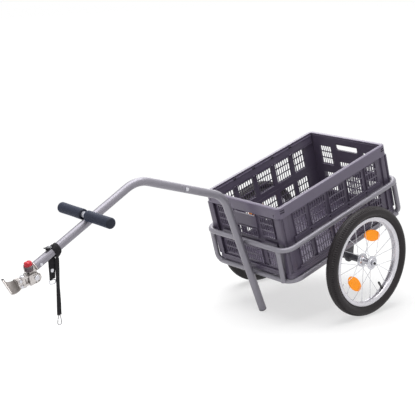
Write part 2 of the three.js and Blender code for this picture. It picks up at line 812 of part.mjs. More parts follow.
// Rim band: a flat top over an outer wall, with an inner wall along the sides only
function band() {
  const outer = slab(roundedRectangle(halfLength, halfWidth, crateCorner), bandFoot, rimBandHeight);
  const opening = slab(roundedRectangle(halfLength - rimBandInset, halfWidth - rimBandInset, crateCorner / 2),
    bandFoot - overrun, rimBandHeight + 2 * overrun);
  const channelOuter = slab(roundedRectangle(halfLength - rimBandWall, halfWidth - rimBandWall,
    crateCorner - rimBandWall), bandFoot - overrun, rimBandHeight - rimBandTop + overrun);
  const inner = halfWidth - rimBandInset;
  const sideWalls = [1, -1].map((side) => block(
    vec(rimBandInset - halfLength, Math.min(side * inner, side * (inner + rimBandWall)), bandFoot),
    vec(halfLength - rimBandInset, Math.max(side * inner, side * (inner + rimBandWall)), crateHeight),
  ));
  return join(cut(outer, opening, channelOuter), ...sideWalls);
}

// A block that cuts through an upright panel, given by its range along the panel and its range in height
function slotCutter(place, low, high, faceX, faceY) {
  const reach = panelThickness + overrun;
  const along = slotWidth / 2;
  if (faceY) {
    return block(vec(place - along, faceY - reach, low), vec(place + along, faceY + reach, high));
  }
  return block(vec(faceX - reach, place - along, low), vec(faceX + reach, place + along, high));
}

function rectangle(left, right, low, high) {
  const shape = new THREE.Shape();
  shape.moveTo(left, low);
  shape.lineTo(right, low);
  shape.lineTo(right, high);
  shape.lineTo(left, high);
  return shape;
}

// Slots side by side in a window, evenly spread over its width
function windowSlots(start, width, low, high, faceX, faceY) {
  const count = Math.floor(width / slotPitch);
  return Array.from({ length: count }, (_, i) => slotCutter(start + width * (i + 1 / 2) / count, low, high,
    faceX, faceY));
}

// One half of a long side: five slotted windows between recessed channels, a folded post at each end
function sideHalf(side, low, high) {
  const face = side * (halfWidth - sidePanelInset);
  const recess = face - side * channelDepth;
  const proud = face + side * overrun;
  const cutters = windowSlots(-windowWidth / 2, windowWidth, low + slotMargin, high - slotMargin, 0, face);
  let start = windowWidth / 2;
  for (const width of [windowWidth, outerWindowWidth]) {
    for (const end of [1, -1]) {
      const left = end > 0 ? start : -start - channelWidth;
      cutters.push(block(vec(left, Math.min(recess, proud), low + slotMargin / 2),
        vec(left + channelWidth, Math.max(recess, proud), high - slotMargin / 2)));
      const windowLeft = end > 0 ? start + channelWidth : -start - channelWidth - width;
      cutters.push(...windowSlots(windowLeft, width, low + slotMargin, high - slotMargin, 0, face));
    }
    start += channelWidth + width;
  }
  const body = plate(rectangle(-halfLength, halfLength, low, high), panelThickness, face - side * panelThickness / 2);
  const posts = [1, -1].map((end) => {
    const inner = end * (halfLength - postReturnThickness);
    const outer = end * halfLength;
    const edge = face - side * postWidth;
    return block(
      vec(Math.min(inner, outer), Math.min(face, edge), low),
      vec(Math.max(inner, outer), Math.max(face, edge), high),
    );
  });
  const envelope = slab(roundedRectangle(halfLength, halfWidth, crateCorner), low - overrun,
    high - low + 2 * overrun);
  return cut(join(body, ...posts), ...cutters).intersect(envelope);
}

// An end panel: it hangs inside the rim band from its round top edge, with a hand hole and slotted windows
const endPanelFace = halfLength - postReturnThickness - seat;
const endPanelFoot = trayTop + seat;
const endPanelAxisZ = crateHeight - rimBandTop - running - panelThickness / 2;

function endPanel(end) {
  const width = halfWidth - sidePanelInset - Math.max(panelThickness, rimBandInset) - endPanelSideGap;
  const shape = rectangle(-width, width, endPanelFoot, endPanelAxisZ);
  const handZ = crateHeight - handHoleDrop;
  const handHalf = handHoleWidth / 2;
  const hand = new THREE.Path();
  hand.moveTo(-handHalf, handZ - handHoleHeight / 2 + gripCorner);
  hand.absarc(-handHalf + gripCorner, handZ - handHoleHeight / 2 + gripCorner, gripCorner, Math.PI, Math.PI * 3 / 2);
  hand.absarc(handHalf - gripCorner, handZ - handHoleHeight / 2 + gripCorner, gripCorner, -Math.PI / 2, 0);
  hand.lineTo(handHalf, handZ + handHoleHeight / 2);
  hand.lineTo(-handHalf, handZ + handHoleHeight / 2);
  shape.holes.push(hand);
  const face = end * endPanelFace;
  const recess = face - end * channelDepth;
  const proud = face + end * overrun;
  const cutters = windowSlots(-plateHalfWidth, 2 * plateHalfWidth, endPanelFoot + slotMargin, middle - slotMargin,
    face, 0);
  for (const side of [1, -1]) {
    const windowLeft = side > 0 ? endWindowStart : -endWindowStart - endWindowWidth;
    for (const [low, high] of [[endPanelFoot, middle], [middle, bandFoot]]) {
      cutters.push(...windowSlots(windowLeft, endWindowWidth, low + slotMargin, high - slotMargin, face, 0));
    }
    const near = side * plateHalfWidth;
    const far = side * (plateHalfWidth + channelWidth);
    cutters.push(block(vec(Math.min(recess, proud), Math.min(near, far), endPanelFoot + slotMargin / 2),
      vec(Math.max(recess, proud), Math.max(near, far), bandFoot - slotMargin / 2)));
  }
  const geometry = new THREE.ExtrudeGeometry(shape, {
    depth: panelThickness, bevelEnabled: false, curveSegments: cornerSteps,
  });
  geometry.rotateX(Math.PI / 2);
  geometry.rotateZ(Math.PI / 2);
  geometry.translate(end > 0 ? face - panelThickness : face, 0, 0);
  const axisX = face - end * panelThickness / 2;
  const topEdge = rod(vec(axisX, -width, endPanelAxisZ), vec(axisX, width, endPanelAxisZ), panelThickness / 2,
    smallSides);
  return join(cut(solid(geometry), ...cutters), topEdge);
}

add(crate, 'crate_tray', tray(), cratePlastic);
add(crate, 'crate_rim_band', band(), cratePlastic);
for (const [side, word] of [[1, 'left'], [-1, 'right']]) {
  add(crate, `crate_side_${word}_lower`, sideHalf(side, trayTop + seat, middle - seat / 2), cratePlastic);
  add(crate, `crate_side_${word}_upper`, sideHalf(side, middle + seat / 2, bandFoot - seat), cratePlastic);
}
add(crate, 'crate_end_front', endPanel(1), cratePlastic);
add(crate, 'crate_end_rear', endPanel(-1), cratePlastic);

// Hitch, laid out around its tilting pin
const hitch = new THREE.Group();
const hitchX = drawbarEnd.x + hitchRun;
const hitchZ = drawbarEnd.z - hitchDrop;
hitch.position.set(hitchX, 0, hitchZ);
hitch.rotation.y = hitchPitch;
trailer.add(hitch);

function acrossPin(radius, halfReach, sides = smallSides) {
  return rod(vec(0, -halfReach, 0), vec(0, halfReach, 0), radius, sides);
}

// A place on the drawbar, seen from the tilting pin
function inHitch(place) {
  return vec(place.x - hitchX, 0, place.z - hitchZ).applyAxisAngle(vec(0, 1, 0), -hitchPitch);
}

// The neck: a plug in the drawbar's end, a flat arm down to the tilting pin and a barrel for the knob
function hitchNeck() {
  const fall = drawbarFall - hitchPitch;
  const way = vec(Math.cos(fall), 0, -Math.sin(fall));
  const tubeEnd = inHitch(drawbarEnd);
  const plugFrom = tubeEnd.clone().addScaledVector(way, -neckPlugLength);
  const plugTo = tubeEnd.clone().addScaledVector(way, drawbarWall * 2);
  const collarFrom = tubeEnd.clone().addScaledVector(way, seat);
  const stem = rod(plugFrom, plugTo, insertRadius, tubeSides);
  const collar = rod(collarFrom, plugTo, drawbarRadius, tubeSides);
  const arm = new THREE.Shape();
  arm.moveTo(plugTo.x - drawbarWall, plugTo.z - drawbarRadius * 3 / 4);
  arm.absarc(0, 0, neckEyeRadius, Math.PI, Math.PI * 2);
  arm.lineTo(barrelX + barrelRadius / 2, barrelFoot + drawbarWall);
  arm.lineTo(barrelX, barrelFoot + barrelHeight / 2);
  arm.lineTo(plugTo.x - drawbarWall, plugTo.z + drawbarRadius * 3 / 4);
  const web = plate(arm, neckThickness, 0, smallSides / 4);
  const barrel = rod(vec(barrelX, 0, barrelFoot), vec(barrelX, 0, barrelFoot + barrelHeight), barrelRadius,
    smallSides);
  const stemHole = rod(vec(barrelX, 0, barrelFoot + barrelHeight - knobStemDepth),
    vec(barrelX, 0, barrelFoot + barrelHeight + overrun), knobStemRadius + running, smallSides);
  return cut(join(stem, collar, web, barrel), stemHole, acrossPin(pivotPinRadius + running, neckThickness));
}

function releaseKnob() {
  const foot = barrelFoot + barrelHeight + seat;
  const stemFoot = barrelFoot + barrelHeight - knobStemDepth + seat;
  const outline = [
    [0, stemFoot], [knobStemRadius, stemFoot], [knobStemRadius, foot], [knobRadius, foot],
    [knobRadius, foot + knobHeight * 3 / 5], [knobRadius * 3 / 4, foot + knobHeight],
    [0, foot + knobHeight],
  ];
  return revolved(outline, smallSides).rotate([90, 0, 0]).translate([barrelX, 0, 0]);
}

// The tilting block: two cheeks beside the neck, a web in front and a fork for the turning pin
function hitchBlock() {
  const outline = new THREE.Shape();
  outline.moveTo(blockWebEnd, -blockHalfHeight);
  outline.lineTo(blockWebEnd, blockHalfHeight);
  outline.absarc(0, 0, blockHalfHeight, Math.PI / 2, Math.PI * 3 / 2);
  const body = plate(outline, 2 * blockHalfWidth, 0, smallSides / 2);
  const slot = block(vec(-blockHalfHeight - overrun, -neckThickness / 2 - running, -blockHalfHeight - overrun),
    vec(blockWebStart, neckThickness / 2 + running, blockHalfHeight + overrun));
  const tongue = new THREE.Shape();
  tongue.moveTo(blockWebStart, -yawEyeRadius);
  tongue.lineTo(yawX, -yawEyeRadius);
  tongue.absarc(yawX, 0, yawEyeRadius, -Math.PI / 2, Math.PI / 2);
  tongue.lineTo(blockWebStart, yawEyeRadius);
  const fork = slab(tongue, -blockHalfHeight, 2 * blockHalfHeight, smallSides / 4);
  const gap = block(
    vec(blockWebEnd, -blockHalfWidth, -yawEyeHalfHeight - running),
    vec(yawX + yawEyeRadius + overrun, blockHalfWidth, yawEyeHalfHeight + running),
  );
  const yawHole = rod(vec(yawX, 0, -blockHalfHeight - overrun), vec(yawX, 0, blockHalfHeight + overrun),
    pivotPinRadius + seat, smallSides);
  return cut(join(body, fork), slot, gap, yawHole, acrossPin(pivotPinRadius + seat, blockHalfWidth + overrun));
}

function headedPin(from, to) {
  const way = new THREE.Vector3().subVectors(to, from).normalize();
  const start = from.clone().addScaledVector(way, -seat);
  const end = to.clone().addScaledVector(way, seat);
  const low = rod(start.clone().addScaledVector(way, -pivotHeadHeight), start, pivotHeadRadius, smallSides);
  const high = rod(end, end.clone().addScaledVector(way, pivotHeadHeight), pivotHeadRadius, smallSides);
  return join(rod(start, end, pivotPinRadius, smallSides), low, high);
}

const clampOuterRadius = clampInnerRadius + clampWall;
const bracketEnd = clampX - clampOuterRadius - seat;
const clampBoltX = clampX - clampOuterRadius - clampCheekLength / 2;

// The turning bracket: an eye in the fork and a flat plate between the clamp's cheeks
function clampBracket() {
  const plan = new THREE.Shape();
  const half = bracketThickness / 2;
  plan.moveTo(yawX, -half);
  plan.lineTo(bracketEnd, -half);
  plan.lineTo(bracketEnd, half);
  plan.lineTo(yawX, half);
  const arm = slab(plan, -yawEyeHalfHeight, 2 * yawEyeHalfHeight);
  const eye = rod(vec(yawX, 0, -yawEyeHalfHeight), vec(yawX, 0, yawEyeHalfHeight), yawEyeRadius, smallSides);
  const tall = block(vec(yawX + yawEyeRadius + overrun, -half, -bracketHalfHeight),
    vec(bracketEnd, half, bracketHalfHeight));
  const hole = rod(vec(yawX, 0, -blockHalfHeight), vec(yawX, 0, blockHalfHeight), pivotPinRadius + running,
    smallSides);
  return cut(join(arm, eye, tall), hole, ...clampBoltHoles());
}

function clampBoltHoles() {
  const reach = bracketThickness / 2 + clampCheekThickness + overrun;
  return [1, -1].map((side) => rod(vec(clampBoltX, -reach, side * clampBoltSpacing / 2),
    vec(clampBoltX, reach, side * clampBoltSpacing / 2), clampBoltRadius + seat, smallSides));
}

// A C-shaped section open towards the bicycle, with straight tips
function clampSection(innerRadius, outerRadius, tip) {
  const section = new THREE.Shape();
  section.moveTo(clampX + tip, -outerRadius);
  section.absarc(clampX, 0, outerRadius, -Math.PI / 2, Math.PI / 2, true);
  section.lineTo(clampX + tip, outerRadius);
  section.lineTo(clampX + tip, innerRadius);
  section.absarc(clampX, 0, innerRadius, Math.PI / 2, -Math.PI / 2, false);
  section.lineTo(clampX + tip, -innerRadius);
  return section;
}

function clampSaddle() {
  const shell = slab(clampSection(clampInnerRadius, clampOuterRadius, clampTip), clampLow,
    clampHigh - clampLow, smallSides / 4);
  const start = clampX - clampOuterRadius - clampCheekLength;
  const cheeks = [1, -1].map((side) => {
    const inner = side * (bracketThickness / 2 + seat);
    const outer = side * (bracketThickness / 2 + seat + clampCheekThickness);
    return block(vec(start, Math.min(inner, outer), -bracketHalfHeight),
      vec(clampX - clampInnerRadius - clampWall / 2, Math.max(inner, outer), bracketHalfHeight));
  });
  return cut(join(shell, ...cheeks), ...clampBoltHoles());
}

function clampLiner() {
  const outer = clampInnerRadius - seat;
  return slab(clampSection(outer - linerWall, outer, clampTip + linerProud), clampLow, clampHigh - clampLow
    + linerProud, smallSides / 4);
}

function clampBolt(side) {
  const reach = bracketThickness / 2 + 2 * seat + clampCheekThickness;
  return hexBolt(vec(clampBoltX, -reach, side * clampBoltSpacing / 2),
    vec(clampBoltX, reach, side * clampBoltSpacing / 2), clampBoltRadius, clampBoltHeadRadius, clampBoltHead);
}

add(hitch, 'hitch_neck', hitchNeck(), castAlloy);
add(hitch, 'release_knob', releaseKnob(), redPlastic);
add(hitch, 'hitch_block', hitchBlock(), castAlloy);
add(hitch, 'tilt_pin', headedPin(vec(0, -blockHalfWidth, 0), vec(0, blockHalfWidth, 0)), zincSteel);
add(hitch, 'turn_pin', headedPin(vec(yawX, 0, -blockHalfHeight), vec(yawX, 0, blockHalfHeight)), zincSteel);
add(hitch, 'clamp_bracket', clampBracket(), castAlloy);
add(hitch, 'clamp_saddle', clampSaddle(), castAlloy);
add(hitch, 'clamp_liner', clampLiner(), rubber);
add(hitch, 'clamp_bolt_upper', clampBolt(1), zincSteel);
add(hitch, 'clamp_bolt_lower', clampBolt(-1), zincSteel);

// Webbing loops around the drawbar, sewn together below it
const strapPlace = onFall(shoulder.x + strapRun);
const loops = new THREE.Group();
loops.position.copy(strapPlace);
loops.rotation.y = drawbarFall;
trailer.add(loops);
const hang = -(drawbarFall + pitch);
const loopInner = (drawbarRadius + seat) / Math.cos(Math.PI / smallSides);
const loopOuter = loopInner + webbingThickness;
const secondLoopX = -loopWidth / 2 - loopSpacing - secondLoopWidth / 2;

function webbingLoops() {
  const wide = rod(vec(-loopWidth / 2, 0, 0), vec(loopWidth / 2, 0, 0), loopOuter, smallSides, loopInner);
  const narrow = rod(vec(secondLoopX - secondLoopWidth / 2, 0, 0), vec(secondLoopX + secondLoopWidth / 2, 0, 0),
    loopOuter, smallSides, loopInner);
  const seam = block(vec(secondLoopX, -webbingThickness, -loopOuter - webbingThickness * 2),
    vec(0, webbingThickness, -loopOuter + webbingThickness / 2));
  const tail = new THREE.Shape();
  const taper = loopWidth / 8;
  tail.moveTo(-loopWidth / 2, -loopOuter + webbingThickness / 2);
  tail.lineTo(-loopWidth / 2 + taper, -loopOuter - tailLength);
  tail.lineTo(loopWidth / 2 - taper, -loopOuter - tailLength);
  tail.lineTo(loopWidth / 2, -loopOuter + webbingThickness / 2);
  const hanging = plate(tail, webbingThickness * 2, 0).rotate([0, hang * 180 / Math.PI, 0])
    .translate([-tailSetback, 0, 0]);
  const neck = block(vec(-strapWidth / 2, -webbingThickness, -loopOuter - neckWebbingLength),
    vec(strapWidth / 2, webbingThickness, -loopInner)).rotate([0, hang * 180 / Math.PI, 0]);
  const placedNeck = neck.translate([secondLoopX, strapSide, 0]);
  const space = rod(vec(-loopWidth * 2, 0, 0), vec(loopWidth * 2, 0, 0), loopInner, smallSides);
  return cut(join(wide, narrow, seam, hanging, placedNeck), space);
}

add(loops, 'webbing_loops', webbingLoops(), blackWebbing);

// Cam buckle on top of the wide loop, its tongue lifted towards the hitch
const buckle = new THREE.Group();
buckle.position.set(-buckleSetback, 0, loopOuter + seat);
loops.add(buckle);

function strapBuckle() {
  const shape = new THREE.Shape();
  shape.moveTo(-buckleLength / 2, 0);
  shape.lineTo(0, 0);
  shape.lineTo(buckleLength, buckleLength * buckleLean);
  shape.lineTo(buckleLength, buckleLength * buckleLean + buckleThickness);
  shape.lineTo(-buckleLength / 2, buckleThickness);
  return plate(shape, buckleWidth, 0);
}

add(buckle, 'strap_buckle', strapBuckle(), blackPlastic);

// What hangs plumb: the ring under the short tail, and the long strap with its snap hook
const tailEnd = loopOuter + tailLength + seat + ringWire;
const ring = new THREE.Group();
ring.rotation.y = hang;
ring.position.set(-tailSetback - tailEnd * Math.sin(hang), 0, -tailEnd * Math.cos(hang));
loops.add(ring);

function strapRing() {
  const half = ringWidth / 2 - ringWire;
  const drop = ringHeight - 2 * ringWire;
  const corners = [vec(0, 0, 0), vec(half, 0, 0), vec(half, 0, -drop), vec(-half, 0, -drop), vec(-half, 0, 0),
    vec(0, 0, 0)];
  const radii = [ringWire * 2, ringBend, ringBend, ringWire * 2];
  return closedTube(corners, radii, ringWire, wireSides, cornerSteps);
}

add(ring, 'strap_ring', strapRing(), zincSteel);

const plumb = new THREE.Group();
plumb.rotation.y = hang;
const neckEnd = loopOuter + neckWebbingLength;
plumb.position.set(secondLoopX - neckEnd * Math.sin(hang), strapSide, -neckEnd * Math.cos(hang));
loops.add(plumb);
add(plumb, 'safety_strap', block(vec(-strapWidth / 2, -strapThickness / 2, -seat - strapLength),
  vec(strapWidth / 2, strapThickness / 2, -seat)), blackWebbing);

const hook = new THREE.Group();
hook.position.z = -strapLength - 2 * seat - hookWire;
plumb.add(hook);

function snapHook() {
  const drop = -hookHeight + 2 * hookWire;
  const corners = [
    vec(hookTopHalfWidth + (hookHalfWidth - hookTopHalfWidth) * hookGateTop / hookGateBottom, 0, -hookGateTop),
    vec(hookTopHalfWidth, 0, 0), vec(-hookTopHalfWidth, 0, 0),
    vec(-hookHalfWidth, 0, -hookGateBottom), vec(-hookHalfWidth / 2, 0, drop), vec(hookHalfWidth / 2, 0, drop),
    vec(hookHalfWidth, 0, -hookGateBottom),
  ];
  const radii = [hookTopHalfWidth / 2, hookTopHalfWidth / 2, hookHalfWidth, hookHalfWidth / 4, hookHalfWidth / 4];
  return bentTube(corners, radii, hookWire, wireSides, 0, cornerSteps);
}

function hookGate() {
  const top = vec(hookTopHalfWidth + (hookHalfWidth - hookTopHalfWidth) * hookGateTop / hookGateBottom, 0,
    -hookGateTop);
  const foot = vec(hookHalfWidth, 0, -hookGateBottom);
  const way = new THREE.Vector3().subVectors(foot, top).normalize();
  return rod(top.addScaledVector(way, seat * 3), foot.addScaledVector(way, -seat * 3), hookWire, wireSides);
}

add(hook, 'snap_hook', snapHook(), zincSteel);
add(hook, 'hook_gate', hookGate(), zincSteel);

// The origin: the middle of the trailer's footprint, without the hanging strap, on the floor
const strapNames = ['safety_strap', 'snap_hook', 'hook_gate'];
root.updateMatrixWorld(true);
const bounds = new THREE.Box3();
root.traverse((object) => {
  if (object.isMesh && !strapNames.includes(object.name)) bounds.expandByObject(object, true);
});
const centre = bounds.getCenter(new THREE.Vector3());
root.position.set(-centre.x, -centre.y, -bounds.min.z);

export default root;
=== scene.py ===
# A two-wheeled cargo bicycle trailer with a folding crate, parked nose-down on its drawbar's leg.
import json
import math
from functools import partial
import bmesh
import bpy
import numpy as np
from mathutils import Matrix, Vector
from mathutils.geometry import delaunay_2d_cdt

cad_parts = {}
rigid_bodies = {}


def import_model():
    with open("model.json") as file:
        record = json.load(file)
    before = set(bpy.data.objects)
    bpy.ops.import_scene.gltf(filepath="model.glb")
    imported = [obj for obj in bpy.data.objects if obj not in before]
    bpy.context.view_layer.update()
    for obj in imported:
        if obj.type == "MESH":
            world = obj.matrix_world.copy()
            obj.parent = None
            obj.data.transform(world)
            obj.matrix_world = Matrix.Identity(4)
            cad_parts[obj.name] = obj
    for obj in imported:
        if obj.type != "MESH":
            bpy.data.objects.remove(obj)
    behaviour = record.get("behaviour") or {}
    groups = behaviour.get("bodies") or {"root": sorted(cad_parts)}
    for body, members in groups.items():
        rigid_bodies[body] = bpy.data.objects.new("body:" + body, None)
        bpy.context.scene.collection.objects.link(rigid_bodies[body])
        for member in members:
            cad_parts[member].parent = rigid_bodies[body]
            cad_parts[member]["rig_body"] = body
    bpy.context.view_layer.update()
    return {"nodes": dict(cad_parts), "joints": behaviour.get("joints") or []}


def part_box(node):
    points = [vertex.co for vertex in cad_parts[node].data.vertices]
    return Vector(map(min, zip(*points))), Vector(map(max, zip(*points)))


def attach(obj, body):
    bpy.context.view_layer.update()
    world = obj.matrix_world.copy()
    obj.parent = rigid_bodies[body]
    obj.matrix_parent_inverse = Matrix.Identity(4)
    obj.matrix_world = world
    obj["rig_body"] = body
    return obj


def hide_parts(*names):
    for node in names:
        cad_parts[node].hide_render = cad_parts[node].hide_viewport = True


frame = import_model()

scene = bpy.context.scene

# Camera: it looks down and back along the trailer from beyond the pull handle, through a long lens.
# Its distance and lens are those that bring the wheel, the crate and the hitch onto the photograph.
camera_place = (2.36744, 2.78660, 1.38108)
camera_turn = (75.8192, 0.4946, 139.5295)
focal_pixels = 1050
frame_pixels = 415
sensor_width = 36.0

camera_data = bpy.data.cameras.new("camera")
camera_data.sensor_width = sensor_width
camera_data.lens = sensor_width * focal_pixels / frame_pixels
camera = bpy.data.objects.new("camera", camera_data)
camera.location = camera_place
camera.rotation_euler = [math.radians(angle) for angle in camera_turn]
scene.collection.objects.link(camera)
scene.camera = camera

# Safety strap: a flat black webbing that hangs plumb from its loop on the drawbar, doubled and sewn.
# It ends in a small snap hook of bent wire. Its route and length are the same as the solid's.
millimetre = 0.001
strap_width = 17.0
strap_thickness = 3.0
strap_length = 193.0
strap_stations = 24
strap_sway = 0.5
strap_waist = 1.2
strap_turn = 0.28
sharp_angle = math.radians(35)

# The trailer stands tipped about its axle, and every level place below is turned with it
lift_axis = next(joint["axis"] for joint in frame["joints"] if joint["name"] == "crate_lift")
pitch = math.atan2(lift_axis[0], lift_axis[2])
tyre_low, tyre_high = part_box("tyre_left")
axle_centre = np.array([(tyre_low.x + tyre_high.x) / 2, 0, (tyre_low.z + tyre_high.z) / 2])


def turned_about_y(angle):
    """The matrix that turns points about the Y axis, +Z towards +X for a positive angle."""
    c, s = math.cos(angle), math.sin(angle)
    return np.array([[c, 0, s], [0, 1, 0], [-s, 0, c]])


def tipped(points):
    """Level trailer millimetres, measured from the axle, to metres where the trailer is parked."""
    return np.asarray(points, float) @ turned_about_y(pitch).T * millimetre + axle_centre


def within(origin, angle=0.0, base=tipped):
    """A placing function for a sub-assembly: turn by an angle about Y, move to an origin, then base."""
    turn, start = turned_about_y(angle), np.asarray(origin, float)
    return lambda points: base(np.asarray(points, float) @ turn.T + start)


def grid_shell(grid, wrap_rows=False):
    """Quads between neighbouring rows and columns of a (rows, columns, 3) array of points, round each row.
    The first and the last row are each closed by one face, unless the rows close on themselves."""
    rows, columns = grid.shape[:2]
    index = np.arange(rows * columns).reshape(rows, columns)
    if wrap_rows:
        index = np.vstack([index, index[:1]])
    index = np.hstack([index, index[:, :1]])
    corners = [index[:-1, :-1], index[1:, :-1], index[1:, 1:], index[:-1, 1:]]
    faces = np.stack(corners, axis=-1).reshape(-1, 4).tolist()
    if not wrap_rows:
        faces.append(list(range(columns)))
        faces.append(list(range((rows - 1) * columns, rows * columns)))
    return grid.reshape(-1, 3), faces


def joined(*shells):
    """Several shells as one: their points one after the other, their faces' numbers moved on to match."""
    points, faces, count = [], [], 0
    for shell_points, shell_faces in shells:
        points.append(shell_points)
        faces.extend([[number + count for number in face] for face in shell_faces])
        count += len(shell_points)
    return np.concatenate(points), faces


def moved(shell, offset, scale=(1, 1, 1)):
    """A shell that is stretched or mirrored by scale, then moved by offset."""
    return shell[0] * scale + offset, shell[1]


def close_up(mesh):
    """Merges a mesh's doubles and turns its faces outwards."""
    build = bmesh.new()
    build.from_mesh(mesh)
    bmesh.ops.remove_doubles(build, verts=build.verts, dist=2e-6)
    bmesh.ops.dissolve_degenerate(build, edges=build.edges, dist=1e-6)
    bmesh.ops.recalc_face_normals(build, faces=build.faces)
    build.to_mesh(mesh)
    build.free()


def shade(mesh):
    """Smooth shading up to the sharp angle."""
    mesh.shade_smooth()
    mesh.set_sharp_from_angle(angle=sharp_angle)


def new_piece(name, shell, body, material, replaced=(), place=tipped, flow=None):
    """A finished piece: its points are placed, its mesh closed up and shaded, and it rides on its body.
    flow gives each point its place along and across a webbing, in metres, as the UV map."""
    points, faces = shell
    mesh = bpy.data.meshes.new(name)
    mesh.from_pydata(place(points).tolist(), [], faces)
    if flow is not None:
        corner = np.zeros(len(mesh.loops), np.int32)
        mesh.loops.foreach_get("vertex_index", corner)
        mesh.uv_layers.new(name="flow").data.foreach_set("uv", flow[corner].astype(np.float32).ravel())
    close_up(mesh)
    shade(mesh)
    mesh.materials.append(material)
    piece = bpy.data.objects.new(name, mesh)
    scene.collection.objects.link(piece)
    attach(piece, body)
    if replaced:
        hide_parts(*replaced)
    return piece


def strip_shell(path, across, width, thickness):
    """A flat strap: at each station of the path a flat oval, width wide along across and thickness thick.
    Its edges are half circles. Returns the shell and each point's place along and across the strap."""
    path, across = np.asarray(path, float), np.asarray(across, float)
    along = np.gradient(path, axis=0)
    along /= np.linalg.norm(along, axis=1, keepdims=True)
    through = np.cross(along, across)
    through /= np.linalg.norm(through, axis=1, keepdims=True)
    width = np.broadcast_to(width, len(path))
    half = thickness / 2
    right = np.linspace(-math.pi / 2, math.pi / 2, 5)
    side = np.concatenate([np.cos(right), -np.cos(right)]) * half
    sign = np.repeat([1.0, -1.0], 5)
    depth = np.concatenate([np.sin(right), -np.sin(right)]) * half
    reach = side[None, :] + sign[None, :] * (width[:, None] / 2 - half)
    grid = path[:, None] + reach[..., None] * across[:, None] + depth[None, :, None] * through[:, None]
    run = np.concatenate([[0], np.cumsum(np.linalg.norm(np.diff(path, axis=0), axis=1))])
    flow = np.stack([np.broadcast_to(run[:, None], reach.shape), reach], axis=-1).reshape(-1, 2) * millimetre
    return grid_shell(grid), flow


def paint(hexadecimal):
    """A colour written as the six digits that a screen shows, turned into light values."""
    parts = [int(hexadecimal[i:i + 2], 16) / 255 for i in (0, 2, 4)]
    return [part / 12.92 if part <= 0.04045 else ((part + 0.055) / 1.055) ** 2.4 for part in parts] + [1]


def effect_group(name, inputs, outputs):
    """An empty shader node group with named sockets, its input and its output node."""
    group = bpy.data.node_groups.new(name, "ShaderNodeTree")
    for label, kind in inputs:
        group.interface.new_socket(label, in_out="INPUT", socket_type=f"NodeSocket{kind}")
    for label, kind in outputs:
        group.interface.new_socket(label, in_out="OUTPUT", socket_type=f"NodeSocket{kind}")
    return group, group.nodes.new("NodeGroupInput"), group.nodes.new("NodeGroupOutput")


def feed(tree, socket, value):
    """Gives a socket another socket's value, or a number or colour of its own."""
    if isinstance(value, bpy.types.NodeSocket):
        tree.links.new(value, socket)
    else:
        socket.default_value = value


def texture(tree, kind, **inputs):
    """A texture node with its inputs fed by their names."""
    node = tree.nodes.new(f"ShaderNodeTex{kind}")
    for label, value in inputs.items():
        feed(tree, node.inputs[label], value)
    return node


def arithmetic(tree, operation, *values):
    """A Math node; each value is a socket or a plain number."""
    node = tree.nodes.new("ShaderNodeMath")
    node.operation = operation
    for socket, value in zip(node.inputs, values):
        feed(tree, socket, value)
    return node.outputs[0]


def times(tree, colour, factor):
    """A colour scaled by a number."""
    node = tree.nodes.new("ShaderNodeVectorMath")
    node.operation = "SCALE"
    tree.links.new(colour, node.inputs[0])
    tree.links.new(factor, node.inputs["Scale"])
    return node.outputs[0]


def build_tone():
    """Tone: slow noise pushes a colour a little darker and lighter. Colour times (1 + amount times swing)."""
    group, taken, given = effect_group(
        "tone",
        [("Vector", "Vector"), ("Color", "Color"), ("Amount", "Float"), ("Scale", "Float")],
        [("Color", "Color")],
    )
    slow = texture(group, "Noise", Vector=taken.outputs["Vector"], Scale=taken.outputs["Scale"], Detail=4.0,
                   Roughness=0.6)
    share = arithmetic(group, "SUBTRACT", slow.outputs["Fac"], 0.5)
    share = arithmetic(group, "MULTIPLY", share, taken.outputs["Amount"])
    factor = arithmetic(group, "MULTIPLY_ADD", share, 2.0, 1.0)
    group.links.new(times(group, taken.outputs["Color"], factor), given.inputs["Color"])
    return group


def build_grain():
    """Grain: two noises, one four times finer than the other, give a height and a swing for roughness."""
    group, taken, given = effect_group(
        "grain",
        [("Vector", "Vector"), ("Scale", "Float"), ("Roughness", "Float"), ("Swing", "Float")],
        [("Height", "Float"), ("Roughness", "Float")],
    )
    vector, scale = taken.outputs["Vector"], taken.outputs["Scale"]
    coarse = texture(group, "Noise", Vector=vector, Scale=scale, Detail=3.0, Roughness=0.6).outputs["Fac"]
    finer = arithmetic(group, "MULTIPLY", scale, 4.0)
    fine = texture(group, "Noise", Vector=vector, Scale=finer, Detail=2.0, Roughness=0.5).outputs["Fac"]
    height = arithmetic(group, "MULTIPLY_ADD", fine, 0.5, coarse)
    group.links.new(height, given.inputs["Height"])
    swing = arithmetic(group, "SUBTRACT", coarse, 0.5)
    swing = arithmetic(group, "MULTIPLY", swing, taken.outputs["Swing"])
    group.links.new(arithmetic(group, "ADD", taken.outputs["Roughness"], swing), given.inputs["Roughness"])
    return group


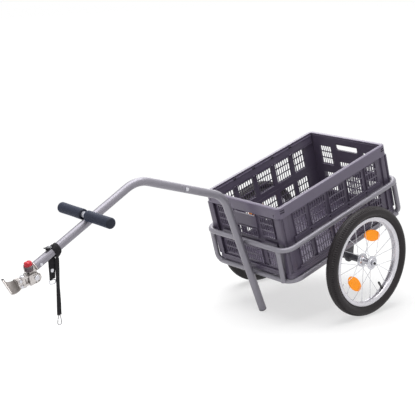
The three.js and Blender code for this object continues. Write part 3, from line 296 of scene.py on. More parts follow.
def build_weave():
    """Weave: from the place along and across a webbing, crossed sine ridges give the yarns' height and
    a mask of the shadow between them; a twill shift moves each row on by part of a yarn."""
    group, taken, given = effect_group(
        "weave",
        [("Flow", "Vector"), ("Yarns", "Float")],
        [("Height", "Float"), ("Shade", "Float")],
    )
    parts = group.nodes.new("ShaderNodeSeparateXYZ")
    group.links.new(taken.outputs["Flow"], parts.inputs[0])
    along = arithmetic(group, "MULTIPLY", parts.outputs["X"], taken.outputs["Yarns"])
    across = arithmetic(group, "MULTIPLY", parts.outputs["Y"], taken.outputs["Yarns"])
    slanted = arithmetic(group, "ADD", along, across)
    warp = arithmetic(group, "ABSOLUTE", arithmetic(group, "SINE", across))
    weft = arithmetic(group, "ABSOLUTE", arithmetic(group, "SINE", slanted))
    height = arithmetic(group, "MULTIPLY", warp, arithmetic(group, "MULTIPLY_ADD", weft, 0.6, 0.4))
    group.links.new(height, given.inputs["Height"])
    group.links.new(arithmetic(group, "MULTIPLY_ADD", height, 0.75, 0.45), given.inputs["Shade"])
    return group


tone_group = build_tone()
grain_group = build_grain()
weave_group = build_weave()


def place_group(tree, group, **values):
    """A group node in a material, with its inputs set to numbers, colours or sockets."""
    node = tree.nodes.new("ShaderNodeGroup")
    node.node_tree = group
    for label, value in values.items():
        feed(tree, node.inputs[label], value)
    return node


def finish(name, color, roughness, metallic=0.0, tone=0.05, tone_scale=9.0, grain=600.0, depth=0.03,
           swing=0.15, coat=0.0, specular=0.5):
    """A material: colour with a slow tone, roughness with a fine swing, and a grain's bump of depth mm."""
    material = bpy.data.materials.new(name)
    material.use_nodes = True
    tree = material.node_tree
    shader = tree.nodes["Principled BSDF"]
    shader.inputs["Metallic"].default_value = metallic
    shader.inputs["Coat Weight"].default_value = coat
    shader.inputs["Specular IOR Level"].default_value = specular
    vector = tree.nodes.new("ShaderNodeTexCoord").outputs["Object"]
    tint = place_group(tree, tone_group, Vector=vector, Color=paint(color), Amount=tone, Scale=tone_scale)
    tree.links.new(tint.outputs["Color"], shader.inputs["Base Color"])
    skin = place_group(tree, grain_group, Vector=vector, Scale=grain, Roughness=roughness, Swing=swing)
    tree.links.new(skin.outputs["Roughness"], shader.inputs["Roughness"])
    bump = tree.nodes.new("ShaderNodeBump")
    bump.inputs["Strength"].default_value = 0.6
    bump.inputs["Distance"].default_value = depth * millimetre
    tree.links.new(skin.outputs["Height"], bump.inputs["Height"])
    tree.links.new(bump.outputs["Normal"], shader.inputs["Normal"])
    return material


def woven(name, color, yarns, depth):
    """Woven webbing: the weave follows the webbing's own UV map, yarns to the metre, depth mm deep."""
    material = finish(name, color, 0.8, tone=0.12, tone_scale=30.0, swing=0.1, specular=0.3)
    tree = material.node_tree
    shader = tree.nodes["Principled BSDF"]
    flow = tree.nodes.new("ShaderNodeUVMap")
    flow.uv_map = "flow"
    weave = place_group(tree, weave_group, Flow=flow.outputs["UV"], Yarns=yarns * math.pi)
    tinted = shader.inputs["Base Color"].links[0].from_socket
    tree.links.new(times(tree, tinted, weave.outputs["Shade"]), shader.inputs["Base Color"])
    bump = shader.inputs["Normal"].links[0].from_node
    bump.inputs["Distance"].default_value = depth * millimetre
    tree.links.new(weave.outputs["Height"], bump.inputs["Height"])
    return material


black_webbing = woven("black_webbing", "1d1b20", 700.0, 0.25)
bright_zinc = finish("bright_zinc", "d0d0d6", 0.25, 0.75, tone=0.06, tone_scale=40.0, grain=900.0, swing=0.2)

strap_low, strap_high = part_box("safety_strap")
strap_top = np.array([(strap_low.x + strap_high.x) / 2, (strap_low.y + strap_high.y) / 2, strap_high.z])
strap_run = np.linspace(0, 1, strap_stations)
strap_path = np.zeros((strap_stations, 3))
strap_path[:, 1] = strap_sway * np.sin(strap_run * 2 * math.pi) ** 2
strap_path[:, 2] = -strap_length * strap_run
strap_widths = strap_width - strap_waist * np.sin(strap_run * math.pi) ** 2
strap_twist = strap_turn * np.sin(math.pi * np.clip((strap_run - 0.04) / 0.8, 0, 1)) ** 2
strap_across = np.stack([np.cos(strap_twist), np.sin(strap_twist), np.zeros(strap_stations)], axis=-1)


def at_strap(points):
    """Millimetres from the strap's upper end, hanging plumb, to metres."""
    return np.asarray(points, float) * millimetre + strap_top


strap_shell, strap_flow = strip_shell(strap_path, strap_across, strap_widths, strap_thickness)
strap = new_piece("safety_strap_webbing", strap_shell, "chassis", black_webbing,
                  ["safety_strap"], at_strap, flow=strap_flow)


def turn_at(before, corner, after):
    """The direction ahead to a corner, the direction sideways after it, and the angle that it turns by."""
    ahead = (corner - before) / np.linalg.norm(corner - before)
    onward = (after - corner) / np.linalg.norm(after - corner)
    side = onward - (onward @ ahead) * ahead
    side /= max(np.linalg.norm(side), 1e-12)
    return ahead, side, math.acos(max(-1.0, min(1.0, float(ahead @ onward))))


def bend_points(corner, ahead, side, turn, radius, angles):
    """Points of a bend of radius r that turns by t: it leaves its run r tan(t / 2) before the corner, and
    its points are start + r sin(a) ahead + r (1 - cos(a)) sideways."""
    start = corner - ahead * radius * math.tan(turn / 2)
    return start + radius * np.sin(angles) * ahead + radius * (1 - np.cos(angles)) * side


def bent_path(corners, radii, step=5.0):
    """Straight runs joined by round bends, with a point about every step degrees. Returns the places and
    the headings there."""
    corners = [np.asarray(corner, float) for corner in corners]
    points, headings = [corners[0]], [corners[1] - corners[0]]
    for before, corner, after, radius in zip(corners, corners[1:], corners[2:], radii):
        ahead, side, turn = turn_at(before, corner, after)
        angles = np.linspace(0, turn, max(3, int(math.degrees(turn) / step) + 2))[:, None]
        points.extend(bend_points(corner, ahead, side, turn, radius, angles))
        headings.extend(np.cos(angles) * ahead + np.sin(angles) * side)
    points.append(corners[-1])
    headings.append(corners[-1] - corners[-2])
    headings = np.array(headings)
    return np.array(points), headings / np.linalg.norm(headings, axis=1, keepdims=True)


def swept(points, headings, radii, sides):
    """The grid of a circle carried along a path, in a frame that turns as little as it can. Its points are
    place + radius (cos(a) normal + sin(a) sideways), with a radius for each station."""
    normal = np.cross(headings[0], [0.3, 1.0, 0.2])
    normals = []
    for heading in headings:
        normal = normal - (normal @ heading) * heading
        normal = normal / np.linalg.norm(normal)
        normals.append(normal)
    normals = np.array(normals)
    sideways = np.cross(headings, normals)
    angles = np.arange(sides)[:, None] / sides * 2 * math.pi
    around = np.cos(angles) * normals[:, None] + np.sin(angles) * sideways[:, None]
    return points[:, None] + radii[:, None, None] * around


def tube_shell(path, radius, sides=32, bore=0.0, closed=False, edge=0.5):
    """A round tube along a path. With a bore its section runs out along the wall and back inside it;
    at both ends the wall is chamfered by edge."""
    points, headings = path
    if closed:
        ring = np.full(len(points) - 1, radius)
        return grid_shell(swept(points[:-1], headings[:-1], ring, sides), wrap_rows=True)
    places = np.concatenate([points[:1], points[:1] + headings[:1] * edge, points[1:-1],
                             points[-1:] - headings[-1:] * edge, points[-1:]])
    ways = np.concatenate([headings[:1], headings, headings[-1:]])
    chamfer = np.zeros(len(places))
    chamfer[[0, -1]] = edge
    outer = swept(places, ways, radius - chamfer, sides)
    if not bore:
        return grid_shell(outer)
    inner = swept(places, ways, bore + chamfer, sides)
    return grid_shell(np.concatenate([outer, inner[::-1]]), wrap_rows=True)


def straight(start, end):
    """A path of one straight run."""
    way = np.asarray(end, float) - np.asarray(start, float)
    way /= np.linalg.norm(way)
    return np.array([start, end], float), np.array([way, way])


# Snap hook on the strap's end: one bent wire, pear-shaped, with a short sprung wire gate on its front side.
# The hook sits in the strap's sewn end and hangs with it.
hook_wire = 1.4
hook_height = 35.0
hook_half_width = 8.0
hook_top_half_width = 3.5
hook_gate_top = 13.0
hook_gate_bottom = 27.0
seat = 0.3
hook_drop = strap_length + seat + hook_wire


def at_hook(points):
    """Millimetres from the middle of the hook's top, to metres."""
    return at_strap(np.asarray(points, float) - [0, 0, hook_drop])


gate_x = hook_top_half_width + (hook_half_width - hook_top_half_width) * hook_gate_top / hook_gate_bottom
hook_bottom = -hook_height + 2 * hook_wire
hook_corners = [
    (gate_x, 0, -hook_gate_top), (hook_top_half_width, 0, 0), (-hook_top_half_width, 0, 0),
    (-hook_half_width, 0, -hook_gate_bottom), (-hook_half_width / 2, 0, hook_bottom),
    (hook_half_width / 2, 0, hook_bottom), (hook_half_width, 0, -hook_gate_bottom),
]
hook_radii = [hook_top_half_width / 2, hook_top_half_width / 2, hook_half_width, 2, 2]
hook_shell = tube_shell(bent_path(hook_corners, hook_radii, 15), hook_wire, 14)
gate_start = np.array([gate_x, 0, -hook_gate_top])
gate_end = np.array([hook_half_width, 0, -hook_gate_bottom])
gate_way = (gate_end - gate_start) / np.linalg.norm(gate_end - gate_start)
gate_path = straight(gate_start + gate_way * 3 * seat, gate_end - gate_way * 3 * seat)
hook_steel = finish("hook_wire_steel", "8a888c", 0.3, 0.7, tone=0.06, tone_scale=40.0, grain=900.0, swing=0.2)
hook = new_piece("snap_hook_wire", hook_shell, "chassis", hook_steel, ["snap_hook"], at_hook)
gate = new_piece("hook_gate_wire", tube_shell(gate_path, hook_wire, 14), "hook_gate", hook_steel,
                 ["hook_gate"], at_hook)

# Crate frame: 20 mm steel tube. An upper ring runs round the crate, and two bent tubes carry its foot.
# Each bent tube is corner post, end bar and side rail in one; all joints are welded, then powder coated.
rail_radius = 10.0
ring_half_length = 319.0
ring_half_width = 219.0
ring_height = 184.0
ring_bend = 46.0
lower_half_length = 303.0
lower_half_width = 202.0
lower_height = 43.0
lower_bend = 50.0
post_bend = 30.0
post_y = 210.0
post_top_x = 299.0
upright_top_y = 178.0
upright_foot_y = 163.0
upright_foot_x = 311.5
weld_size = 1.6
weld_ripples = 26

silver_coat = finish("silver_powder_coat", "89868f", 0.42, 0.45, tone_scale=5.0, grain=1400.0, depth=0.02,
                     swing=0.18, coat=0.25)


def weld_rail(name, place, towards):
    """The weld bead where a rail, that runs towards a place, ends on another. A small circle is swept round
    the rail, radius (1 + 0.16 cos(ripples a)) in size and 1.6 times as long as it is high."""
    place = np.asarray(place, float)
    way = (towards - place) / np.linalg.norm(towards - place)
    first = np.cross(way, [0.2, 0.9, 0.4])
    first /= np.linalg.norm(first)
    turn = np.arange(weld_ripples * 4) / (weld_ripples * 4) * 2 * math.pi
    around = np.cos(turn)[:, None] * first + np.sin(turn)[:, None] * np.cross(way, first)
    small = np.arange(10) / 10 * 2 * math.pi
    size = weld_size * (1 + 0.16 * np.cos(turn * weld_ripples))[:, None]
    out = rail_radius - 0.6 + size * np.cos(small)
    along = rail_radius + 0.4 + size * 1.6 * np.sin(small)
    bead = place + out[..., None] * around[:, None] + along[..., None] * way
    new_piece(name, grid_shell(bead, wrap_rows=True), "chassis", silver_coat)


ring_corners = [
    (ring_half_length, 0, ring_height), (ring_half_length, ring_half_width, ring_height),
    (-ring_half_length, ring_half_width, ring_height), (-ring_half_length, -ring_half_width, ring_height),
    (ring_half_length, -ring_half_width, ring_height), (ring_half_length, 0, ring_height),
]
upper_path = bent_path(ring_corners, [ring_bend] * 4)
new_piece("upper_ring_tube", tube_shell(upper_path, rail_radius, closed=True), "chassis", silver_coat,
          ["upper_ring"])
for end, tube_node, upright_node in [
    (1, "lower_tube_front", "upright_front_left"),
    (-1, "lower_tube_rear", "upright_rear_right"),
]:
    post_top = (end * post_top_x, -end * post_y, ring_height)
    post_foot = (end * lower_half_length, -end * post_y, lower_height)
    far_corner = (end * lower_half_length, end * lower_half_width, lower_height)
    rail_end = (end * -(lower_half_length - rail_radius / 2), end * lower_half_width, lower_height)
    lower_path = bent_path([post_top, post_foot, far_corner, rail_end], [post_bend, lower_bend])
    new_piece(f"{tube_node}_coated", tube_shell(lower_path, rail_radius), "chassis", silver_coat,
              [tube_node])
    foot = (end * upright_foot_x, end * upright_foot_y, lower_height)
    top = (end * ring_half_length, end * upright_top_y, ring_height)
    new_piece(f"{upright_node}_coated", tube_shell(straight(foot, top), rail_radius), "chassis",
              silver_coat, [upright_node])
    weld_rail(f"weld_{upright_node}_top", top, foot)
    weld_rail(f"weld_{tube_node}_post", post_top, post_foot)

# Axle: a black-painted tube through two pressed hanger plates that are welded under the side rails.
# The wheels' pins plug into its open ends.
track = 584.0
hub_half_length = 30.0
axle_radius = 12.5
axle_wall = 3.0
axle_gap = 2.0
hanger_thickness = 10.0
hanger_half_length = 34.0
hanger_ring = 8.0
hanger_reach = 6.0
both_sides = [(1, "left"), (-1, "right")]

dark_coat = finish("dark_powder_coat", "4b4b51", 0.42, 0.25, tone=0.08, tone_scale=8.0, grain=1200.0,
                   depth=0.02, swing=0.2, coat=0.15)


def rounded_outline(corners, radii, steps=6):
    """A closed outline whose corners are arcs, worked out as the bends of a path are."""
    corners = np.asarray(corners, float)
    radii = np.broadcast_to(radii, len(corners))
    points = []
    for before, corner, after, radius in zip(np.roll(corners, 1, 0), corners, np.roll(corners, -1, 0), radii):
        ahead, side, turn = turn_at(before, corner, after)
        if radius <= 0 or turn < 1e-3:
            points.append(corner)
            continue
        angles = np.linspace(0, turn, steps + 1)[:, None]
        points.extend(bend_points(corner, ahead, side, turn, radius, angles))
    return np.array(points)


def arc_points(centre, radius, start, end, steps):
    """Points of an arc round a centre, from start to end degrees."""
    angles = np.radians(np.linspace(start, end, steps + 1))
    return np.stack([centre[0] + radius * np.cos(angles), centre[1] + radius * np.sin(angles)], axis=-1)


def outward_normals(outline):
    """Mitred normals of a closed outline: the two sides' normals n and m give (n + m) / (1 + n m)."""
    sides = np.roll(outline, -1, 0) - outline
    sides /= np.maximum(np.linalg.norm(sides, axis=1, keepdims=True), 1e-9)
    normals = np.stack([sides[:, 1], -sides[:, 0]], axis=-1)
    before = np.roll(normals, 1, 0)
    return (normals + before) / (1 + (normals * before).sum(1, keepdims=True) + 1e-9)


def counterclockwise(outline):
    """The outline, turned round if its area came out negative."""
    outline = np.asarray(outline, float)
    onward = np.roll(outline, -1, 0)
    area = (outline[:, 0] * onward[:, 1] - onward[:, 0] * outline[:, 1]).sum()
    return outline if area > 0 else outline[::-1]


def edge_profile(thickness, edge, steps):
    """How a plate's rounded edge goes through its thickness: (how far in, at which depth), front to back."""
    angles = np.linspace(math.pi / 2, 0, steps + 1)
    inward = edge * (1 - np.cos(angles))
    depth = thickness / 2 - edge * (1 - np.sin(angles))
    return np.concatenate([inward, inward[::-1]]), np.concatenate([depth, -depth[::-1]])


def stood(flat, depth, axis, middle):
    """Points of a flat outline and their depth, stood up: an outline in YZ, XZ or XY for axis x, y or z."""
    if axis == "x":
        return np.stack([depth + middle, flat[..., 0], flat[..., 1]], axis=-1)
    if axis == "y":
        return np.stack([flat[..., 0], depth + middle, flat[..., 1]], axis=-1)
    return np.stack([flat[..., 0], flat[..., 1], depth + middle], axis=-1)


def plate_shell(outline, thickness, axis, middle, edge, steps=3):
    """A plate from a closed outline: rings of it step inward over the rounded edge, and a face closes each
    side. The plate's middle plane lies at middle along the axis."""
    outline = counterclockwise(outline)
    inward, depth = edge_profile(thickness, edge, steps)
    flat = outline[None] - inward[:, None, None] * outward_normals(outline)[None]
    depths = np.broadcast_to(depth[:, None], flat.shape[:2])
    return grid_shell(stood(flat, depths, axis, middle))


def turned_shell(profile, sides, axis="y", closed=True):
    """A turned body: a profile of (radius, place along the axis) goes round the axis. A closed profile
    joins its last point to its first; an open one starts and ends on the axis."""
    profile = np.asarray(profile, float)
    angles = np.arange(sides) / sides * 2 * math.pi
    radius = profile[:, 0][:, None]
    along = np.broadcast_to(profile[:, 1][:, None], (len(profile), sides))
    first, second = radius * np.cos(angles), radius * np.sin(angles)
    if axis == "x":
        grid = np.stack([along, first, second], axis=-1)
    elif axis == "y":
        grid = np.stack([second, along, first], axis=-1)
    else:
        grid = np.stack([first, second, along], axis=-1)
    return grid_shell(grid, wrap_rows=closed)


hanger_top = lower_height - rail_radius + hanger_reach
hanger_outline = np.concatenate([
    [(-hanger_half_length, hanger_top)],
    arc_points((0, 0), axle_radius + hanger_ring, 180, 360, 24),
    [(hanger_half_length, hanger_top)],
])
for side, word in both_sides:
    hanger_shell = plate_shell(hanger_outline, hanger_thickness, "y", side * lower_half_width, 1.2)
    new_piece(f"hanger_{word}_plate", hanger_shell, "chassis", dark_coat, [f"hanger_{word}"])
axle_half_length = track / 2 - hub_half_length - axle_gap
axle_path = straight((0, -axle_half_length, 0), (0, axle_half_length, 0))
new_piece("axle_tube_coated", tube_shell(axle_path, axle_radius, 40, axle_radius - axle_wall), "chassis",
          dark_coat, ["axle_tube"])

# Drawbar: a 30 mm steel tube in two lengths. The rear one is the parking leg and bends forward from it.
# The front one bends down to the hitch; a spigot inside the joint is held by one through bolt.
drawbar_radius = 15.0
drawbar_wall = 2.0
drawbar_bite = 1.0
foot_drop = 108.5
plug_collar = 2.0
plug_ball_radius = 21.2
rise = math.radians(33.2)
fall = math.radians(12.1)
knee_height = 393.0
knee_bend = 100.0
shoulder_bend = 120.0
seam_x = 545.0
shoulder_x = 706.0
drawbar_end_x = 1160.0
bolt_setback = 22.0
spigot_in, spigot_out = 60, 30
leg_weld_side = 6.5

lean_tangent = (ring_half_length - lower_half_length) / (ring_height - lower_height)
lean = math.atan(lean_tangent)
leg_offset = rail_radius - drawbar_bite + drawbar_radius / math.cos(lean)


def leg_at(height):
    """A place on the leg's middle line."""
    return np.array([lower_half_length + leg_offset + (height - lower_height) * lean_tangent, 0, height])


leg_up = np.array([math.sin(lean), 0, math.cos(lean)])
rise_way = np.array([math.cos(rise), 0, math.sin(rise)])
fall_way = np.array([math.cos(fall), 0, -math.sin(fall)])
plug_edge = math.sqrt(plug_ball_radius ** 2 - drawbar_radius ** 2)
leg_end = leg_at(-foot_drop) + leg_up * (-plug_edge + plug_collar + seat)
knee = leg_at(knee_height)


def on_rise(x):
    """A place on the rising run, by its distance along X."""
    return knee + rise_way * (x - knee[0]) / rise_way[0]


shoulder = on_rise(shoulder_x)


def on_fall(x):
    """A place on the falling run, by its distance along X."""
    return shoulder + fall_way * (x - shoulder[0]) / fall_way[0]


seam = on_rise(seam_x)
drawbar_end = on_fall(drawbar_end_x)
drawbar_bore = drawbar_radius - drawbar_wall
rear_path = bent_path([leg_end, knee, seam], [knee_bend], 3)
front_path = bent_path([seam + rise_way * seat, shoulder, drawbar_end], [shoulder_bend], 3)
new_piece("drawbar_rear_coated", tube_shell(rear_path, drawbar_radius, 48, drawbar_bore), "chassis",
          silver_coat, ["drawbar_rear"])
spigot_path = straight(seam - rise_way * spigot_in, seam + rise_way * spigot_out)
spigot = tube_shell(spigot_path, drawbar_bore - seat, 40)
new_piece("drawbar_front_coated", joined(tube_shell(front_path, drawbar_radius, 48, drawbar_bore), spigot),
          "chassis", silver_coat, ["drawbar_front"])
weld_across = np.linspace(-9, 9, 25)
leg_weld_sizes = 2.4 * (1 + 0.15 * np.cos(np.arange(25) * math.pi / 1.5))
leg_carriers = [("lower", lower_height, lower_half_length), ("upper", ring_height, ring_half_length)]
for name, height, carrier in leg_carriers:
    for sense, word in [(1, "over"), (-1, "under")]:
        bead_line = np.stack([carrier + rail_radius - 0.6 + 0.04 * weld_across ** 2, weld_across,
                              np.full(25, height + sense * leg_weld_side)], axis=-1)
        heads = np.gradient(bead_line, axis=0)
        heads /= np.linalg.norm(heads, axis=1, keepdims=True)
        bead = grid_shell(swept(bead_line, heads, leg_weld_sizes, 10))
        new_piece(f"weld_leg_{name}_{word}", bead, "chassis", silver_coat)


def hexagon_head(radius, height, foot, sense):
    """A bolt's six-sided head with its corners turned off: a hexagon cut down to a circle at the top."""
    angles = np.arange(36) / 36 * 2 * math.pi
    flat = radius * math.cos(math.pi / 6) / np.cos((angles + math.pi / 6) % (math.pi / 3) - math.pi / 6)
    top = np.minimum(flat, radius * 0.9)
    levels = [(0.0, flat), (0.75, flat), (1.0, top)]
    grid = np.stack([stood(np.stack([size * np.cos(angles), size * np.sin(angles)], axis=-1),
                           np.full(36, sense * share * height), "y", foot) for share, size in levels])
    return grid_shell(grid)


def through_bolt(radius, reach, tail, head_radius, head, nut):
    """A level bolt with a head at reach, a nut on the other side and a tail that sticks out of it."""
    shank = tube_shell(straight((0, -reach - tail, 0), (0, reach + 1, 0)), radius, 20)
    ends = hexagon_head(head_radius, head, reach, 1), hexagon_head(head_radius, nut, -reach, -1)
    return joined(shank, *ends)


bolt_reach = drawbar_radius + seat
new_piece("joint_bolt_zinc", through_bolt(4, bolt_reach, 6, 7, 4.2, 5), "chassis", bright_zinc,
          ["joint_bolt"], within(seam - rise_way * bolt_setback))

black_plastic = finish("black_moulded_plastic", "1d1d21", 0.45, grain=700.0, depth=0.05, swing=0.2)
dome = math.asin(drawbar_radius / plug_ball_radius)
dome_angles = np.linspace(dome, 0, 14)
dome_profile = np.stack([plug_ball_radius * np.sin(dome_angles),
                         plug_edge - plug_collar - plug_ball_radius * np.cos(dome_angles)], axis=-1)
plug_profile = np.concatenate([[(0, 20), (12, 20), (12.4, 19), (12.4, 0), (drawbar_radius, 0)], dome_profile])
new_piece("foot_plug_moulded", turned_shell(plug_profile, 40, "z", closed=False), "chassis", black_plastic,
          ["foot_plug"], within(leg_end - leg_up * seat, lean))

# Pull handle: a short cross tube welded on top of the drawbar, with a closed-cell foam grip on each end.
# The grips are cut from dark blue-black foam sleeve and have rounded, closed ends.
handle_x = 928.0
handle_length = 284.0
handle_bite = 3.0
handle_radius = 11.0
handle_bare = 22.0
grip_radius = 18.5
grip_end_wall = 4.0
grip_rounding = 7.0
grip_lip = 4.0

handle_up = np.array([math.sin(fall), 0, math.cos(fall)])
handle_place = on_fall(handle_x) + handle_up * (drawbar_radius - handle_bite + handle_radius)
at_handle = within(handle_place)
handle_path = straight((0, -handle_length / 2, 0), (0, handle_length / 2, 0))
bare_alloy = finish("bright_handle_tube", "c9cad2", 0.3, 0.5, tone=0.04, grain=1200.0, depth=0.02, coat=0.2)
new_piece("handle_tube_bright", tube_shell(handle_path, handle_radius, 40, handle_radius - 2), "chassis",
          bare_alloy, ["handle_tube"], at_handle)


def pit(material, scale, depth, distance="EUCLIDEAN", randomness=1.0):
    """The bump of Voronoi cells, scale to the metre and depth mm deep. Returns the material's shader."""
    tree = material.node_tree
    shader = tree.nodes["Principled BSDF"]
    cells = texture(tree, "Voronoi", Vector=tree.nodes["Texture Coordinate"].outputs["Object"], Scale=scale,
                    Randomness=randomness)
    cells.distance = distance
    bump = shader.inputs["Normal"].links[0].from_node
    bump.inputs["Distance"].default_value = depth * millimetre
    tree.links.new(cells.outputs["Distance"], bump.inputs["Height"])
    return shader


# The foam is dark and pitted by its cells, with a faint lighter skin that shows at a slant
grip_foam = finish("dark_blue_foam", "0c1120", 0.62, tone=0.25, tone_scale=22.0, grain=500.0, swing=0.2,
                   specular=0.4)
foam_shader = pit(grip_foam, 900.0, 0.35)
foam_shader.inputs["Sheen Weight"].default_value = 0.5
foam_shader.inputs["Sheen Roughness"].default_value = 0.5
foam_shader.inputs["Sheen Tint"].default_value = paint("26427a")


def grip_profile(side):
    """The grip's half section: bore, a lip where it starts, a slight waist, and a rounded closed end."""
    start, end = handle_bare / 2, handle_length / 2 + grip_end_wall
    bore = handle_radius + seat
    run = np.linspace(0, 1, 12)
    waist = np.stack([grip_radius - 0.5 * np.sin(run * math.pi) ** 2,
                      start + grip_lip + run * (end - grip_rounding - start - grip_lip)], axis=-1)
    nose = arc_points((end - grip_rounding, grip_radius - grip_rounding), grip_rounding, 90, 0, 8)[:, ::-1]
    lip = arc_points((start + grip_lip, grip_radius - grip_lip), grip_lip, 180, 90, 6)[:, ::-1]
    profile = np.concatenate([[(bore, start)], lip, waist, nose, [(0, end)]])
    inside = [(0, end - grip_end_wall + seat), (bore, end - grip_end_wall + seat)]
    return np.concatenate([profile, inside]) * [1, side]


for side, word in both_sides:
    grip = new_piece(f"grip_{word}_foam", turned_shell(grip_profile(side), 56), "chassis", grip_foam,
                     [f"grip_{word}"], at_handle)
handle_weld_sizes = 1.9 + 0.3 * np.cos(np.arange(21) * 2.1)
for side, word in both_sides:
    bead_line = np.stack([np.linspace(-8, 8, 21), np.full(21, side * 6.5), np.zeros(21)], axis=-1)
    bead_line = bead_line @ turned_about_y(fall).T + handle_up * (0.9 - 0.93 * handle_radius)
    bead = swept(bead_line, np.tile(fall_way, (21, 1)), handle_weld_sizes, 10)
    new_piece(f"weld_handle_{word}", grid_shell(bead), "chassis", bare_alloy, (), at_handle)

# Wheels: 16 inch. A black tyre with a close rib tread sits on a polished alloy rim, laced to a steel hub
# with twenty plated spokes. Each wheel carries a rubber valve and two orange spoke reflectors.
wheel_radius = 211.0
tyre_half_width = 24.0
tyre_widest_radius = 190.0
rim_outer_radius = 172.0
rim_inner_radius = 154.0
rim_half_width = 14.0
rim_flange = 2.5
tyre_steps = 1080
tyre_wall = 4.0
tread_ribs = 150
rib_depth = 1.6
rib_middle = 15.5
centre_groove = (0.0, 1.1, 1.5)
side_grooves = [(5.2, 0.8, 1.1), (9.6, 0.8, 1.1)]
spokes_per_side = 10
spoke_radius = 1.0
spoke_circle_radius = 22.0
hub_shell_radius = 12.0
hub_flange_radius = 26.0

tyre_rubber = finish("tyre_rubber", "1a1417", 0.5, tone=0.12, tone_scale=18.0, grain=800.0, depth=0.06,
                     swing=0.2, specular=0.35)
polished_rim = finish("polished_rim", "d6d4da", 0.22, 0.6, tone_scale=12.0, grain=1500.0,
                      depth=0.01, swing=0.18)
black_rubber = finish("black_rubber", "201d20", 0.6, tone=0.1, tone_scale=30.0, grain=900.0, depth=0.05)


def superellipse(turns, half_width, half_height, power):
    """Points of |x / a| ^ p + |y / b| ^ p = 1 at the given turns in radians."""
    c, s = np.cos(turns), np.sin(turns)
    return np.stack([half_width * np.sign(c) * np.abs(c) ** (2 / power),
                     half_height * np.sign(s) * np.abs(s) ** (2 / power)], axis=-1)


def tyre_shell():
    """The carcass, turned from an oval section that narrows to the beads. On the crown a centre groove and
    two side grooves run round it, and fine ribs cross the shoulders: radius = oval - groove - rib."""
    bead = rim_half_width - rim_flange - seat
    low, high = rim_outer_radius + 1, wheel_radius
    middle = tyre_widest_radius
    upper = superellipse(np.linspace(0, math.pi, 61), tyre_half_width, high - middle, 2.25)
    sink = np.linspace(0, 1, 12)[1:]
    flank_width = tyre_half_width - (tyre_half_width - bead) * sink ** 1.7
    flank = np.stack([-flank_width, -(middle - low) * sink], axis=-1)
    section = np.concatenate([flank[::-1] * [-1, 1], upper, flank])
    across, height = section[:, 0], section[:, 1] + middle
    inner = np.stack([across * 0.84, np.maximum(height - tyre_wall, low - 6)], axis=-1)[::-1]
    inner = inner[np.linspace(0, len(inner) - 1, 9).astype(int)]
    around = np.arange(tyre_steps) / tyre_steps * 2 * math.pi
    place = np.abs(across)[:, None]

    def ring(at, half_width, height=1.0):
        """A band round the tyre on both its sides, whose height falls off at its edges as exp(-x ^ 4)."""
        return height * np.exp(-((place - at) / half_width) ** 4)

    crown = (height > middle + 6)[:, None]
    shoulder = ring(rib_middle, 4.2, rib_depth)
    ribs = shoulder * np.clip(np.cos(around * tread_ribs) * 1.8, -1, 1)
    grooves = ring(*centre_groove) + sum(ring(*groove) for groove in side_grooves)
    sipe = ring(7.4, 1.6, 0.5) * np.clip(-np.cos(around * tread_ribs + 1.6) * 2, 0, 1)
    relief = np.where(crown, grooves + sipe - ribs + shoulder, 0.0)
    lining = np.broadcast_to(inner[:, 1][:, None], (len(inner), tyre_steps))
    radius = np.concatenate([height[:, None] - relief, lining])
    along = np.broadcast_to(np.concatenate([across, inner[:, 0]])[:, None], radius.shape)
    grid = np.stack([radius * np.sin(around), along, radius * np.cos(around)], axis=-1)
    return grid_shell(grid, wrap_rows=True)


def rim_shell():
    """The rim's section: a deep well inside, flat brake faces, hooked flanges, and a rounded inner face."""
    half = [(rim_inner_radius, 0), (rim_inner_radius + 0.8, 6), (rim_inner_radius + 3.2, 11.5),
            (rim_inner_radius + 5.6, rim_half_width - 0.7), (rim_inner_radius + 7.5, rim_half_width),
            (rim_outer_radius - 2.2, rim_half_width), (rim_outer_radius - 0.6, rim_half_width - 0.3),
            (rim_outer_radius, rim_half_width - 1.2),
            (rim_outer_radius - 0.4, rim_half_width - rim_flange - 0.2),
            (rim_outer_radius - 3.4, rim_half_width - rim_flange), (rim_outer_radius - 6.5, 9.5),
            (rim_outer_radius - 8.0, 7.0), (rim_outer_radius - 8.3, 0)]
    half = np.array(half, float)
    other = half[1:-1][::-1] * [1, -1]
    return turned_shell(np.concatenate([half, other]), 160)


def spoke_ends():
    """Each spoke's hole in the flange and its place in the rim: neighbours lean opposite ways and cross."""
    spacing = 2 * math.pi / spokes_per_side
    cup, flange = hub_half_length - 4, hub_half_length - 8
    for side in (1, -1):
        for number in range(spokes_per_side):
            sense = -1 if number % 2 else 1
            hub_angle = number * spacing + (spacing / 4 if side > 0 else spacing * 3 / 4)
            rim_angle = hub_angle + sense * spacing
            hub_y = side * (flange + cup) / 2 + sense * 1.5
            yield (np.array([spoke_circle_radius * math.sin(hub_angle), hub_y,
                             spoke_circle_radius * math.cos(hub_angle)]),
                   np.array([math.sin(rim_angle), 0, math.cos(rim_angle)]))


def spokes_shell():
    """Twenty spokes, each with a nipple at the rim: a thin rod, a short thicker one and a small collar."""
    parts = []
    for start, outward in spoke_ends():
        end = outward * (rim_inner_radius + 0.6)
        way = (end - start) / np.linalg.norm(end - start)
        parts.append(tube_shell(straight(start - way * 1.5, end), spoke_radius, 8, edge=0.1))
        parts.append(tube_shell(straight(end - way * 13, end), spoke_radius * 1.75, 10, edge=0.4))
        parts.append(tube_shell(straight(end - way * 1.6, end + way * 0.3), spoke_radius * 2.7, 12, edge=0.5))
    return joined(*parts)


